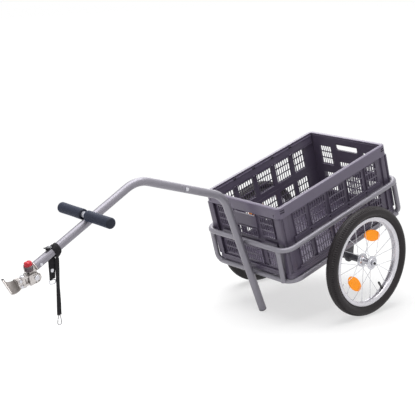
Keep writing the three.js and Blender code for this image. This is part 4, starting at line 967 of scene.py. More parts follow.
def hub_shell():
    """The hub's section: a waisted shell, two round-edged flanges and a cupped end for each bearing."""
    half = [(hub_shell_radius, 0), (hub_shell_radius + 0.3, 10), (hub_shell_radius + 2.4, 17),
            (hub_shell_radius + 6, 21), (hub_flange_radius - 1, 22), (hub_flange_radius, 22.8),
            (hub_flange_radius, 25.2), (hub_flange_radius - 1, 26), (20.5, 26.4), (18.6, 27.4), (18, 29.2),
            (17.2, 30), (14.4, 30), (14.4, 21.6), (9, 21.6)]
    half = np.array(half, float)
    other = half[1:][::-1] * [1, -1]
    return turned_shell(np.concatenate([half, other]), 56)


def spoke_heads_shell():
    """A small domed head on the flange's face for each spoke."""
    parts = []
    for start, outward in spoke_ends():
        side = 1 if start[1] > 0 else -1
        profile = np.array([(0, 27.6), (1.2, 27.4), (2.1, 26.7), (2.2, 25.6), (0, 25.6)]) * [1, side]
        parts.append(moved(turned_shell(profile, 10, closed=False), [start[0], 0, start[2]]))
    return joined(*parts)


def bearing_shell(side):
    """A sealed bearing: outer ring, recessed shield with a groove on each edge, inner ring."""
    profile = np.array([(6.3, 22), (14, 22), (14, 29.7), (12.4, 29.7), (12.2, 29.2), (8.6, 29.2), (8.4, 29.7),
                        (6.3, 29.7)], float) * [1, side]
    return turned_shell(profile, 40)


def valve_shell():
    """The valve along its own axis: a rubber foot, a slim stem, a ribbed cap with a rounded top."""
    top = rim_inner_radius - seat
    profile = [(0, top), (6.5, top), (6.2, top - 1.6), (4.4, top - 4), (3.7, top - 8), (3.6, top - 17),
               (4.1, top - 18), (4.1, top - 31), (3.6, top - 33), (2.4, top - 34), (0, top - 34)]
    points, faces = turned_shell(profile, 24, "z", closed=False)
    capped = points[:, 2] < top - 17.5
    turn = np.arctan2(points[:, 1], points[:, 0])
    points[:, :2] *= np.where(capped, 1 + 0.06 * np.cos(turn * 12), 1.0)[:, None]
    return points, faces


def reflector_shell():
    """An oval lens: rings of an ellipse shrink over a rounded edge to a shallow dome on each face."""
    rings = []
    for side in (1, -1):
        face = [(1.0, 0.25), (0.985, 0.72), (0.95, 0.9), (0.9, 0.94), (0.885, 0.8), (0.6, 0.9), (0.3, 0.98),
                (0.04, 1.0)]
        rings.extend(([(share, side * depth) for share, depth in face])[::-side])
    turn = np.arange(72) / 72 * 2 * math.pi
    grid = np.stack([np.stack([43 * share * np.cos(turn), np.full(72, 4.0 * depth),
                               100 + 22 * share * np.sin(turn)], axis=-1) for share, depth in rings])
    return grid_shell(grid)


def pin_shell():
    """The axle pin: a stem in the axle tube, a slimmer shaft through the hub and a knurled head."""
    profile = [(0, -92), (7.4, -92), (8.6, -90.5), (8.6, -32), (6, -32), (6, 30.3), (9.2, 30.3), (10, 31.2),
               (10, 36.4), (9.2, 37.3), (5.4, 37.3), (5.4, 28.3), (0, 28.3)]
    return turned_shell(profile, 48, closed=False)


def button_shell():
    """The release button in the pin's head, with a dished, rounded face."""
    profile = [(0, 31.6), (5, 31.6), (5, 39.4), (4.4, 40.4), (3.4, 40.8), (2, 40.5), (0, 40.3)]
    return turned_shell(profile, 32, closed=False)


# The lens is clear-coated plastic over square cells like small prisms; a faint painted glow in its own orange
# stands in for the light that they send back
orange_reflector = finish("orange_reflector", "ff9a00", 0.3, tone=0.06, tone_scale=60.0, swing=0.1, coat=0.1,
                          specular=0.2)
lens_shader = pit(orange_reflector, 420.0, 0.5, "CHEBYCHEV", 0.0)
# Painted glow: the lens emits a little orange light of its own, though it is no lamp
lens_shader.inputs["Emission Color"].default_value = paint("ff9000")
lens_shader.inputs["Emission Strength"].default_value = 0.26
valve_turn = math.radians(-144)
reflector_turns = [math.radians(-14), math.radians(138)]
tyre_form, rim_form, hub_form = tyre_shell(), rim_shell(), joined(hub_shell(), spoke_heads_shell())
spokes_form, valve_form, reflector_form = spokes_shell(), valve_shell(), reflector_shell()
for side, word in both_sides:
    body = f"wheel_{word}"
    hub_place = axle_centre + np.array([0, side * track / 2 * millimetre, 0])

    def at_wheel(points, turn=0.0, flip=(side, side, 1), hub_place=hub_place):
        """Millimetres from the hub's middle, +Y outwards, to metres, first turned round the hub."""
        return points @ turned_about_y(turn).T * flip * millimetre + hub_place

    new_piece(f"tyre_{word}_tread", tyre_form, body, tyre_rubber, [f"tyre_{word}"], at_wheel)
    new_piece(f"rim_{word}_polished", rim_form, body, polished_rim, [f"rim_{word}"], at_wheel)
    new_piece(f"hub_{word}_plated", hub_form, body, bright_zinc, [f"hub_spokes_{word}"],
              at_wheel)
    new_piece(f"spokes_{word}", spokes_form, body, bright_zinc, (), at_wheel)
    for end, end_word in [(-1, "inner"), (1, "outer")]:
        new_piece(f"bearing_{end_word}_{word}_sealed", bearing_shell(end), body, bright_zinc,
                  [f"bearing_{end_word}_{word}"], at_wheel)
    new_piece(f"valve_{word}_capped", valve_form, body, black_rubber, [f"valve_{word}"],
              partial(at_wheel, turn=valve_turn))
    for letter, turn in zip("ab", reflector_turns):
        new_piece(f"reflector_{letter}_{word}_lens", reflector_form, body, orange_reflector,
                  [f"reflector_{letter}_{word}"], partial(at_wheel, turn=turn))
    pin_body = frame["nodes"][f"axle_pin_{word}"]["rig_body"]
    new_piece(f"axle_pin_{word}_plated", pin_shell(), pin_body, bright_zinc,
              [f"axle_pin_{word}"], at_wheel)
    new_piece(f"release_button_{word}_moulded", button_shell(), f"button_{word}", black_plastic,
              [f"release_button_{word}"], at_wheel)

# Folding crate: moulded grey-violet plastic, 600 by 400 mm, in nine parts that clip together.
# A tray and a rim band are joined by four long-side halves; an end panel hangs in each end of the band.
crate_length = 600.0
crate_width = 400.0
crate_height = 296.0
crate_corner = 20.0
crate_foot_depth = 7.0
floor_rib_spacing = 52.0
pocket_depth = 16.0
band_height = 42.0
band_wall = 4.0
band_inset = 15.0
band_top = 5.0
tray_height = 30.0
tray_floor = 4.0
tray_wall = 12.0
panel_thickness = 9.0
base_wall = 2.4
window_skin = 2.4
window_rim = 2.2
side_inset = 2.0
slit_width = 8.2
slit_corner = 2.2
slit_gap = 4.6
slit_rows = 3
window_edges = [(-230, -166, 5), (-146, -62, 7), (-42, 42, 7), (62, 146, 7), (166, 230, 5)]
channel_middles = [-156, -52, 52, 156]
upper_slits = (165.0, 248.0)
lower_slits = (42.0, 124.0)
hand_hole_width = 115.0
hand_hole_low = 237.0
hand_hole_high = 264.0
end_panel_face = 293.7
end_panel_half_width = 182.0
end_columns = [(-148, -82, 6), (82, 148, 6)]
middle_column = (-54, 54, 9)
side_wall_end = 292.0
side_pad_end = 241.0
channel_hole = 8.0
post_face = 194.5
post_inner = 191.5
hinge_spans = [(-284, -168), (-144, -64), (-40, 40), (64, 144), (168, 284)]
hinge_level = 252.5
hinge_face = 185.5
clip_depth = 3.0
rib_reach_x, rib_reach_y = 276.0, 176.0
corner_slot_ends = (269, 289)
corner_slot_levels = [(282, 286.5), (273.5, 278)]
end_slot_middle = 172
end_slot_levels = (262, 271)

half_length, half_width = crate_length / 2, crate_width / 2
side_face = half_width - side_inset
band_foot = crate_height - band_height
middle_height = (tray_height + band_foot) / 2
at_crate = within((0, 0, lower_height + rail_radius + seat - crate_foot_depth))
crate_plastic = finish("crate_plastic", "574f61", 0.36, tone_scale=6.0, grain=900.0, depth=0.06)
# The rim band is the crate's plastic painted lighter: a painted highlight for the light that falls on the
# crate's top
band_plastic_painted_lighter = finish("band_plastic_painted_lighter", "675f72", 0.3, tone_scale=6.0, grain=900.0, depth=0.04)


def box_outline(left, right, low, high, radius=0.0):
    """A rectangle, with round corners if it has a radius."""
    return rounded_outline([(left, low), (right, low), (right, high), (left, high)], radius, 3)


def slits(left, right, columns, low, high, rows):
    """The outlines of a window's slits, in columns side by side and rows one over the other. A slit fills
    its cell but for a bar between it and the next."""
    tall = (high - low + slit_gap) / rows
    middles = left + (right - left) / columns * (np.arange(columns) + 0.5)
    return [box_outline(middle - slit_width / 2, middle + slit_width / 2, foot, foot + tall - slit_gap,
                        slit_corner) for middle in middles for foot in low + tall * np.arange(rows)]


def pierced_shell(outline, holes, thickness, axis, middle, edge=0.5, steps=1):
    """A plate with holes. Rings of every outline step over its rounded edge, into the plate on the outside
    and away from each hole, and a triangulation between the innermost rings closes both faces."""
    loops = [counterclockwise(outline)] + [counterclockwise(hole)[::-1] for hole in holes]
    inward, depth = edge_profile(thickness, edge, steps)
    starts = np.cumsum([0] + [len(loop) for loop in loops])
    inner = np.concatenate([loop - edge * outward_normals(loop) for loop in loops])
    bounds = [(int(start + i), int(start + (i + 1) % len(loop)))
              for start, loop in zip(starts, loops) for i in range(len(loop))]
    found = delaunay_2d_cdt([Vector(point) for point in inner], bounds, [], 1, 1e-5)
    triangles, origin = np.array(found[2]), [sources[0] for sources in found[3]]
    owner = np.searchsorted(starts, np.array(origin), side="right") - 1
    owners = owner[triangles]
    same = (owners[:, 0] == owners[:, 1]) & (owners[:, 1] == owners[:, 2]) & (owners[:, 0] > 0)
    cap = np.array(origin)[triangles[~same]]
    count = len(inner)
    rings = [np.concatenate([loop - step * outward_normals(loop) for loop in loops]) for step in inward]
    points = np.concatenate([stood(ring, np.full(count, level), axis, middle)
                             for ring, level in zip(rings, depth)])
    following = np.concatenate([start + (np.arange(len(loop)) + 1) % len(loop)
                                for start, loop in zip(starts, loops)])
    here = np.arange(count)
    faces = cap.tolist() + (cap[:, ::-1] + (len(depth) - 1) * count).tolist()
    for level in range(len(depth) - 1):
        near, far = level * count, (level + 1) * count
        faces += np.stack([here + near, following + near, following + far, here + far], axis=-1).tolist()
    return points, faces


def round_rectangle(half_x, half_y, radius):
    """A rectangle about the middle with round corners."""
    corners = [(half_x, -half_y), (half_x, half_y), (-half_x, half_y), (-half_x, -half_y)]
    return rounded_outline(corners, radius, 10)


def ring_shell(half_x, half_y, radius, section):
    """A section carried round a rounded rectangle; its points are (how far inside the outline, height)."""
    flat = counterclockwise(round_rectangle(half_x, half_y, radius))
    inside, height = np.array(section, float).T
    ring = flat[None] - inside[:, None, None] * outward_normals(flat)[None]
    level = np.broadcast_to(height[:, None, None], (len(section), len(flat), 1))
    return grid_shell(np.concatenate([ring, level], axis=2), wrap_rows=True)


def cut_pockets(piece, pockets, place):
    """Sinks small pockets into a piece: each is a closed box, taken away by an exact boolean."""
    cutter = bpy.data.objects.new("pocket_cutter", bpy.data.meshes.new("pocket_cutter"))
    points, faces = joined(*pockets)
    cutter.data.from_pydata(place(points).tolist(), [], faces)
    close_up(cutter.data)
    scene.collection.objects.link(cutter)
    modifier = piece.modifiers.new("pockets", "BOOLEAN")
    modifier.operation = "DIFFERENCE"
    modifier.solver = "EXACT"
    modifier.object = cutter
    bpy.context.view_layer.update()
    cut = bpy.data.meshes.new_from_object(piece.evaluated_get(bpy.context.evaluated_depsgraph_get()))
    piece.modifiers.clear()
    piece.data = cut
    bpy.data.objects.remove(cutter)
    shade(piece.data)


tray_section = [(0.8, 8), (0, 9), (0, 21), (1.4, 22.4), (1.4, tray_height - 1), (2.2, tray_height),
                (tray_wall - 0.8, tray_height), (tray_wall, tray_height - 0.8), (tray_wall, 10),
                (tray_wall + 6, 10), (tray_wall + 6, 8)]
foot_length, foot_width = lower_half_length - rail_radius - 1.5, lower_half_width - rail_radius - 1.5
foot_corner = lower_bend - rail_radius
foot_section = [(1.2, 0), (0, 1.2), (0, 10.5), (tray_floor, 10.5), (tray_floor, 0)]
floor_parts = [plate_shell(round_rectangle(foot_length, foot_width, foot_corner), tray_floor, "z",
                           tray_floor / 2, 0.6)]
ribs = [box_outline(x - 1.2, x + 1.2, -rib_reach_y, rib_reach_y)
        for x in np.arange(-5, 6) * floor_rib_spacing]
ribs += [box_outline(-rib_reach_x, rib_reach_x, y - 1.2, y + 1.2)
         for y in np.arange(-3, 4) * floor_rib_spacing]
floor_parts += [plate_shell(rib, 1.6, "z", tray_floor + 0.7, 0.5) for rib in ribs]
tray_shell = joined(ring_shell(half_length, half_width, crate_corner, tray_section),
                    ring_shell(foot_length, foot_width, foot_corner, foot_section), *floor_parts)
new_piece("crate_tray_moulded", tray_shell, "crate", crate_plastic, ["crate_tray"], at_crate)

band_section = [(0.5, band_foot), (0, band_foot + 0.6), (0, crate_height - 3), (0.9, crate_height - 0.9),
                (3, crate_height), (band_inset - 1, crate_height), (band_inset, crate_height - 1),
                (band_inset, crate_height - band_top + 0.6), (band_inset - 0.6, crate_height - band_top),
                (band_wall, crate_height - band_top), (band_wall, band_foot + 0.6),
                (band_wall - 0.5, band_foot)]
band_parts = [ring_shell(half_length, half_width, crate_corner, band_section)]
inner_wall = half_width - band_inset + band_wall / 2
inner_end = half_length - band_inset
for side in (1, -1):
    wall = box_outline(-inner_end, inner_end, band_foot, crate_height - 1)
    band_parts.append(plate_shell(wall, band_wall, "y", side * inner_wall, 0.6))
    ledge = box_outline(-inner_end, inner_end, crate_height - 13, crate_height - 10)
    band_parts.append(plate_shell(ledge, clip_depth, "y", side * (half_width - band_inset - 1.2), 0.6))
band = new_piece("crate_rim_band_moulded", joined(*band_parts), "crate", band_plastic_painted_lighter,
                 ["crate_rim_band"], at_crate)
pocket_parts = []
for end in (1, -1):
    for side in (1, -1):
        near, far = sorted(end * slot_end for slot_end in corner_slot_ends)
        for low, high in corner_slot_levels:
            pocket_parts.append(plate_shell(box_outline(near, far, low, high), pocket_depth, "y",
                                            side * (half_width + 0.2), 0.01, 1))
        middle = side * end_slot_middle
        pocket_parts.append(plate_shell(box_outline(middle - 2, middle + 2, *end_slot_levels), pocket_depth,
                                        "x", end * (half_length + 0.2), 0.01, 1))
cut_pockets(band, pocket_parts, at_crate)


def window(left, right, low, high, holes, axis, face, sense):
    """A raised window: a thin skin with the slits, flush with the panel's outer face, and a rim round it
    that reaches in to the wall. Returns both shells and the hole that the wall needs behind them."""
    outline = box_outline(left - 1, right + 1, low, high, 1.5)
    opening = box_outline(left - 1 + window_rim, right + 1 - window_rim, low + window_rim,
                          high - window_rim, 0.8)
    skin = pierced_shell(outline, holes, window_skin, axis, face - sense * window_skin / 2, 0.6)
    depth = panel_thickness - base_wall - window_skin + 0.4
    rim = pierced_shell(outline, [opening], depth, axis, face - sense * (window_skin + depth / 2 - 0.2))
    return [skin, rim], opening


def layers(face):
    """Where a panel's layers lie behind its outer face: the thin wall's middle, the pads' and their depth."""
    wall_face = face - panel_thickness + base_wall
    return face - panel_thickness + base_wall / 2, (wall_face + face) / 2, face - wall_face + 0.2


def crate_side(side, low, high, slit_range, strips):
    """One half of a long side: a thin wall that is open behind its windows, strips above or below them with
    a square hole at each channel, and the posts at both corners."""
    wall_middle, pad_middle, pad_depth = layers(side_face)
    slit_low, slit_high = slit_range
    parts, openings = [], []
    for left, right, columns in window_edges:
        holes = slits(left, right, columns, slit_low, slit_high, slit_rows)
        shells, opening = window(left, right, slit_low - 4, min(slit_high + 4, high - 0.4), holes, "y",
                                 side * side_face, side)
        parts += shells
        openings.append(opening)
    wall = box_outline(-side_wall_end, side_wall_end, low, high)
    parts.append(pierced_shell(wall, openings, base_wall, "y", side * wall_middle))
    for strip_low, strip_high in strips:
        holes, half, centre = [], channel_hole / 2, (strip_low + strip_high) / 2
        if strip_high - strip_low > channel_hole + 3:
            holes = [box_outline(x - half, x + half, centre - half, centre + half, 1)
                     for x in channel_middles]
        strip = box_outline(-side_pad_end, side_pad_end, strip_low, strip_high, 1.2)
        parts.append(pierced_shell(strip, holes, pad_depth, "y", side * pad_middle, 0.8))
    for end in (1, -1):
        corner = np.array([(262, post_face), (280, post_face), (295.5, post_face), (295.5, 168), (292.5, 168),
                           (292.5, post_inner), (262, post_inner)])
        backing = rounded_outline(corner * [end, side], [0, 0, 15, 0, 0, 12, 0])
        parts.append(plate_shell(backing, high - low, "z", (low + high) / 2, 0.4))
        column = np.array([(292, 196.2), (298.6, 198.4), (299.4, 190), (299.4, 168), (294, 168), (294, 190),
                           (290, 192)])
        column = rounded_outline(column * [end, side], [0, 3, 2, 0.8, 0, 3, 0])
        parts.append(plate_shell(column, high - low, "z", (low + high) / 2, 0.4))
        rib = box_outline(*sorted((end * 263, end * 283)), low, high, 1.2)
        parts.append(plate_shell(rib, side_face - 191, "y", side * (side_face + 191) / 2, 0.8))
    return joined(*parts)


knuckle = turned_shell([(0, -4.5), (3.6, -4.5), (4, -4), (4, 4), (3.6, 4.5), (0, 4.5)], 18, "x", closed=False)
for side, word in both_sides:
    lower = crate_side(side, tray_height + seat, middle_height - seat / 2, lower_slits,
                       [(tray_height + seat, 38), (128, middle_height - seat / 2)])
    new_piece(f"crate_side_{word}_lower_moulded", lower, "crate", crate_plastic,
              [f"crate_side_{word}_lower"], at_crate)
    upper = crate_side(side, middle_height + seat / 2, band_foot - seat, upper_slits,
                       [(middle_height + seat / 2, 159)])
    new_piece(f"crate_side_{word}_upper_moulded", upper, "crate", crate_plastic,
              [f"crate_side_{word}_upper"], at_crate)
    clips, hinges = [], []
    for x in channel_middles:
        for shift in (-4, 4):
            clip = box_outline(x + shift - 2.6, x + shift + 2.6, crate_height - 15, crate_height - 8, 0.8)
            clips.append(plate_shell(clip, clip_depth, "y", side * (half_width - band_inset - 2.2), 0.6))
        hinges += [moved(knuckle, [x + shift, side * hinge_face, hinge_level]) for shift in (-7, 7)]
    new_piece(f"crate_side_{word}_clips", joined(*clips), "crate", black_plastic, (),
              at_crate)
    for left, right in hinge_spans:
        hinges.append(plate_shell(box_outline(left, right, 249.2, 252.8), 6, "y", side * 186.2, 0.5))
    new_piece(f"crate_side_{word}_hinges", joined(*hinges), "crate", crate_plastic, (),
              at_crate)


def end_panel(end):
    """An end panel: a thin wall with slits and the hand hole, a raised pad in the middle and one for each
    window column outside, and the round top edge that it hangs and folds on."""
    foot, top = tray_height + seat, crate_height - band_top - 0.4
    wall_middle, pad_middle, pad_depth = layers(end_panel_face)
    hand = rounded_outline([(-hand_hole_width / 2, hand_hole_low), (hand_hole_width / 2, hand_hole_low),
                            (hand_hole_width / 2, hand_hole_high), (-hand_hole_width / 2, hand_hole_high)],
                           [9, 9, 5, 5], 6)
    width = end_panel_half_width
    parts, openings = [], []
    for left, right, columns in end_columns + [middle_column]:
        upper = (150, 182, 1) if columns == middle_column[2] else (165, 242, slit_rows)
        for low, high, rows in [(*lower_slits, slit_rows), upper]:
            holes = slits(left, right, columns, low, high, rows)
            shells, opening = window(left, right, low - 5, high + 5, holes, "x", end * end_panel_face, end)
            parts += shells
            openings.append(opening)
    wall = box_outline(-width, width, foot, top - 4.5)
    parts.append(pierced_shell(wall, [hand] + openings, base_wall, "x", end * wall_middle))
    plate = box_outline(-61, 61, 190, top - 5, 1.5)
    parts.append(pierced_shell(plate, [hand], pad_depth, "x", end * pad_middle, 0.9))
    for left, right, columns in end_columns:
        pad = box_outline(left - 1, right + 1, 131, 143, 1)
        parts.append(plate_shell(pad, pad_depth, "x", end * pad_middle, 0.8))
    strip = box_outline(-166, 166, foot, 36, 1.2)
    parts.append(plate_shell(strip, pad_depth - 1.4, "x", end * (pad_middle - 0.7), 0.6))
    axis_x = end * (end_panel_face - panel_thickness / 2)
    rail = turned_shell([(0, -width), (4.1, -width), (4.5, 0.4 - width), (4.5, width - 0.4), (4.1, width),
                         (0, width)], 24, "y", closed=False)
    parts.append(moved(rail, [axis_x, 0, top - panel_thickness / 2]))
    gusset = box_outline(-width, width, top - 9, top - 3)
    parts.append(plate_shell(gusset, panel_thickness - 1, "x", axis_x, 0.6))
    return joined(*parts)


for end, word in [(1, "front"), (-1, "rear")]:
    new_piece(f"crate_end_{word}_moulded", end_panel(end), f"crate_{word}_panel", crate_plastic,
              [f"crate_end_{word}"], at_crate)

# Hitch: raw cast alloy. The neck is plugged and bolted into the drawbar's end, and carries an upright barrel
# with a curved guard beside it. The red release knob's stem slides down into the barrel.
# A block tilts on a headed pin through the neck's eye.
hitch_x = drawbar_end[0] + 15.0
hitch_z = drawbar_end[2] - 30.6
hitch_pitch = math.radians(-4)
neck_bolt_setback = 14.0
neck_eye_radius = 12.0
neck_thickness = 12.0
barrel_radius = 13.0
barrel_foot = 24.0
barrel_height = 18.0
barrel_x = 10.0
knob_radius = 14.0
knob_stem_radius = 4.0
knob_stem_depth = 13.0
block_half_width = 18.0
block_half_height = 17.0
block_web_start = 20.0
block_web_end = 27.0
guard_inner = 15.4
guard_wall = 2.5
guard_height = 22.0
guard_span = (-115, -15)
block_border = 2.2
block_field_sink = 0.9
small_bolt = {"radius": 3, "head_radius": 5.5, "head": 4, "nut": 4}
pin_radius = 5.0
pin_head_radius = 8.5
pin_head_height = 4.0
yaw_x = 41.0
yaw_eye_radius = 10.0
yaw_eye_half_height = 8.0

at_hitch = within((hitch_x, 0, hitch_z), hitch_pitch)
cast_alloy = finish("cast_alloy", "cbc6c4", 0.26, 0.8, tone=0.1, tone_scale=60.0, grain=1100.0, depth=0.12,
                    swing=0.3)
red_plastic = finish("red_moulded_plastic", "c40d26", 0.3, tone=0.04, grain=900.0, swing=0.1)


def in_hitch(place):
    """A place on the drawbar, seen from the tilting pin and turned with the hitch."""
    return (np.asarray(place, float) - [hitch_x, 0, hitch_z]) @ turned_about_y(-hitch_pitch).T


def bowed_outline(outer, inner):
    """A curved strip round the barrel's middle line, over the guard's span."""
    start, end = guard_span
    return np.concatenate([arc_points((barrel_x, 0), outer, start, end, 30),
                           arc_points((barrel_x, 0), inner, end, start, 30)])


fall_in_hitch = np.array([math.cos(fall - hitch_pitch), 0, -math.sin(fall - hitch_pitch)])
tube_end = in_hitch(drawbar_end)
plug_from, plug_to = tube_end - fall_in_hitch * 28, tube_end + fall_in_hitch * 4
neck_outline = np.concatenate([
    [(plug_to[0] - 2, plug_to[2] - 11)],
    arc_points((0, 0), neck_eye_radius, 180, 360, 20),
    [(barrel_x + 6, barrel_foot + 2), (barrel_x, barrel_foot + 9), (plug_to[0] - 2, plug_to[2] + 11)],
])
barrel_profile = [(0, barrel_foot), (barrel_radius - 1.5, barrel_foot), (barrel_radius, barrel_foot + 1.5)]
for level in (3.5, 7.5, 11.5):
    foot_level = barrel_foot + level
    barrel_profile += [(barrel_radius, foot_level), (barrel_radius - 1.1, foot_level + 0.6),
                       (barrel_radius - 1.1, foot_level + 1.8), (barrel_radius, foot_level + 2.4)]
barrel_top = barrel_foot + barrel_height
barrel_profile += [(barrel_radius, barrel_top - 1), (barrel_radius - 1, barrel_top),
                   (knob_stem_radius + 0.4, barrel_top),
                   (knob_stem_radius + 0.4, barrel_top - knob_stem_depth), (0, barrel_top - knob_stem_depth)]
guard_outline = bowed_outline(guard_inner + guard_wall, guard_inner)
shelf_outline = bowed_outline(guard_inner + guard_wall / 2, barrel_radius - 1)
neck_shell = joined(
    tube_shell(straight(plug_from, plug_to), drawbar_bore - seat, 40),
    tube_shell(straight(tube_end + fall_in_hitch * seat, plug_to), drawbar_radius, 48, edge=1.0),
    plate_shell(neck_outline, neck_thickness, "y", 0, 1.2),
    plate_shell(guard_outline, guard_height, "z", barrel_foot + guard_height / 2, 0.8),
    plate_shell(shelf_outline, guard_wall, "z", barrel_foot + guard_wall / 2, 0.5),
)
new_piece("hitch_neck_cast", neck_shell, "chassis", cast_alloy, ["hitch_neck"], at_hitch)
dark_alloy = finish("dark_cast_alloy", "6b6165", 0.34, 0.6, tone=0.1, tone_scale=60.0, grain=1100.0,
                    depth=0.08, swing=0.3)
barrel = moved(turned_shell(barrel_profile, 56, "z", closed=False), [barrel_x, 0, 0])
new_piece("hitch_barrel_cast", barrel, "chassis", dark_alloy, (), at_hitch)
new_piece("neck_bolt_zinc", through_bolt(reach=bolt_reach, tail=4, **small_bolt), "chassis", bright_zinc,
          (), within(on_fall(drawbar_end_x - neck_bolt_setback), fall))


def knob_shell():
    """The knob: a two-lobed cap with finger ribs. Its radius is R (1 - 0.13 sin^2) with a fine rib wave,
    and the top is a low dome with a groove between the lobes."""
    turns = np.linspace(0, 2 * math.pi, 145)[:-1]
    lobes = 1 - 0.13 * np.sin(turns) ** 2
    ribs = 0.55 * (0.5 + 0.5 * np.cos(turns * 18))
    foot_level = barrel_top + seat
    stem_share = knob_stem_radius / knob_radius
    levels = [(stem_share, barrel_top - knob_stem_depth + seat, 0), (stem_share, foot_level, 0),
              (0.9, foot_level, 0.2), (0.97, foot_level + 0.8, 1), (1.0, foot_level + 3, 1),
              (0.99, foot_level + 9, 1), (0.95, foot_level + 11.5, 0.8),
              (0.87, foot_level + 13.4, 0.4), (0.72, foot_level + 14.5, 0.1), (0.45, foot_level + 14.9, 0),
              (0.2, foot_level + 15, 0), (0.02, foot_level + 15, 0)]
    rings = []
    for share, height, ribbed in levels:
        shape = lobes if share > 0.3 else np.ones_like(turns)
        radius = knob_radius * share * shape - ribs * ribbed
        across = radius * np.cos(turns)
        drop = np.zeros_like(turns)
        if height > foot_level + 10:
            drop = 1.6 * np.exp(-(across / 2.6) ** 2)
        rings.append(np.stack([barrel_x + across, radius * np.sin(turns), height - drop], axis=-1))
    return grid_shell(np.array(rings))


new_piece("release_knob_moulded", knob_shell(), "knob", red_plastic, ["release_knob"],
          at_hitch)


def cheek_outline(inset):
    """The block's cheek, round at the neck's eye and square at the web, less an inset all round."""
    end, half = block_web_end - inset, block_half_height - inset
    return np.concatenate([[(end, -half), (end, half)], arc_points((0, 0), half, 90, 270, 28)])


def cast_block():
    """The tilting block: two cheeks with raised borders, a web between them and two fork plates with ribs."""
    cheek, border = cheek_outline(0), cheek_outline(block_border)
    cheek_thickness = block_half_width - neck_thickness / 2 - 0.4
    field_thickness = cheek_thickness - block_field_sink
    field_face = block_half_width - block_field_sink
    parts = []
    for side in (1, -1):
        rim = pierced_shell(cheek, [border], cheek_thickness, "y",
                            side * (block_half_width - cheek_thickness / 2), 0.6, 2)
        field = plate_shell(cheek, field_thickness, "y", side * (field_face - field_thickness / 2), 0.5)
        parts += [rim, field]
        for z in (10, -10):
            boss = turned_shell([(0, -0.4), (2.8, -0.4), (2.8, 0.5), (2.2, 0.9), (0, 0.9)], 20, closed=False)
            parts.append(moved(boss, [15, side * field_face, z], [1, side, 1]))
    web = box_outline(block_web_start, block_web_end, -block_half_width, block_half_width, 1)
    parts.append(plate_shell(web, 2 * block_half_height, "z", 0, 1.0))
    tongue = np.concatenate([
        [(block_web_start + 1, yaw_eye_radius), (block_web_start + 1, -yaw_eye_radius)],
        arc_points((yaw_x, 0), yaw_eye_radius, -90, 90, 24),
    ])
    fork_thickness = block_half_height - yaw_eye_half_height - 0.4
    fork_middle = block_half_height - fork_thickness / 2
    for side in (1, -1):
        parts.append(plate_shell(tongue, fork_thickness, "z", side * fork_middle, 1.0))
        gusset = [(block_web_end - 1, side * 2), (block_web_end - 1, side * 12.4), (yaw_x - 6, side * 9.4),
                  (yaw_x - 6, side * 8)]
        parts += [plate_shell(gusset, fork_thickness - 3, "z", level * fork_middle, 0.6) for level in (1, -1)]
    return joined(*parts)


new_piece("hitch_block_cast", cast_block(), "hitch_block", cast_alloy, ["hitch_block"],
          at_hitch)
# Painted shade: thin black discs sit on the cheeks at the block's socket holes, dark as the hollows of the
# holes are in shade
socket = turned_shell([(0, -1), (2, -1), (2, 0.25), (0, 0.25)], 16, closed=False)
socket_places = [(-11, 8), (-6, 12.4), (1, 13.6), (8, 13.4), (22.6, 5), (22.6, -3), (22.6, -11), (6, -13.4),
                 (-5, -12.6)]
sockets = [moved(socket, [x, side * (block_half_width - 0.3), z], [1, side, 1])
           for side in (1, -1) for x, z in socket_places]
new_piece("hitch_block_painted_socket_shade", joined(*sockets), "hitch_block", black_plastic, (),
          at_hitch)

# Two headed pins: one level, that the block tilts on, and one upright, that the clamp turns on.
# Both are turned steel with domed, plated heads.
def headed_pin(reach, axis):
    """A pin with a domed head on each end."""
    profile = [(0, -reach - pin_head_height), (4.4, -reach - pin_head_height), (7.4, -reach - 3.2),
               (pin_head_radius, -reach - 2), (pin_head_radius, -reach - 0.4), (8.1, -reach),
               (pin_radius, -reach)]
    profile += [(radius, -along) for radius, along in profile[::-1]]
    return turned_shell(profile, 40, axis, closed=False)


turn_pin = moved(headed_pin(block_half_height + seat, "z"), [yaw_x, 0, 0])
new_piece("tilt_pin_zinc", headed_pin(block_half_width + seat, "y"), "hitch_block", bright_zinc,
          ["tilt_pin"], at_hitch)
new_piece("turn_pin_zinc", turn_pin, "hitch_block", bright_zinc, ["turn_pin"], at_hitch)

# Seat-post clamp: a cast bracket turns in the block's fork and carries a half-round trough lined with
# rubber. The trough leans outwards and is open upwards; two cross bolts hold its cheeks on the bracket.
bracket_thickness = 12.0
bracket_half_height = 17.0
bracket_end = 60.7
trough_place = np.array([81.0, 0.0, 8.0])
trough_lean = math.radians(47)
trough_inner = 16.0
trough_outer = 20.0
trough_tip = 2.0
trough_half_length = 27.0
trough_slant = 9.0
cheek_start = 50.0
cheek_end = 63.0
cheek_thickness = 4.0
tooth_spacing = 4.8
liner_wall = 2.0
liner_proud = 2.0
clamp_bolt_x = 55.5
clamp_bolt_spacing = 19.0

eye_profile = [(0, -8), (9.2, -8), (10, -7.2), (10, 7.2), (9.2, 8), (0, 8)]
arm = box_outline(yaw_x, bracket_end, -bracket_thickness / 2, bracket_thickness / 2)
tall_outline = box_outline(cheek_start, bracket_end, -bracket_half_height + 1, bracket_half_height - 1, 3)
bracket_shell = joined(moved(turned_shell(eye_profile, 44, "z", closed=False), [yaw_x, 0, 0]),
                       plate_shell(arm, 2 * yaw_eye_half_height, "z", 0, 0.8),
                       plate_shell(tall_outline, bracket_thickness, "y", 0, 0.8))
new_piece("clamp_bracket_cast", bracket_shell, "clamp", cast_alloy, ["clamp_bracket"], at_hitch)


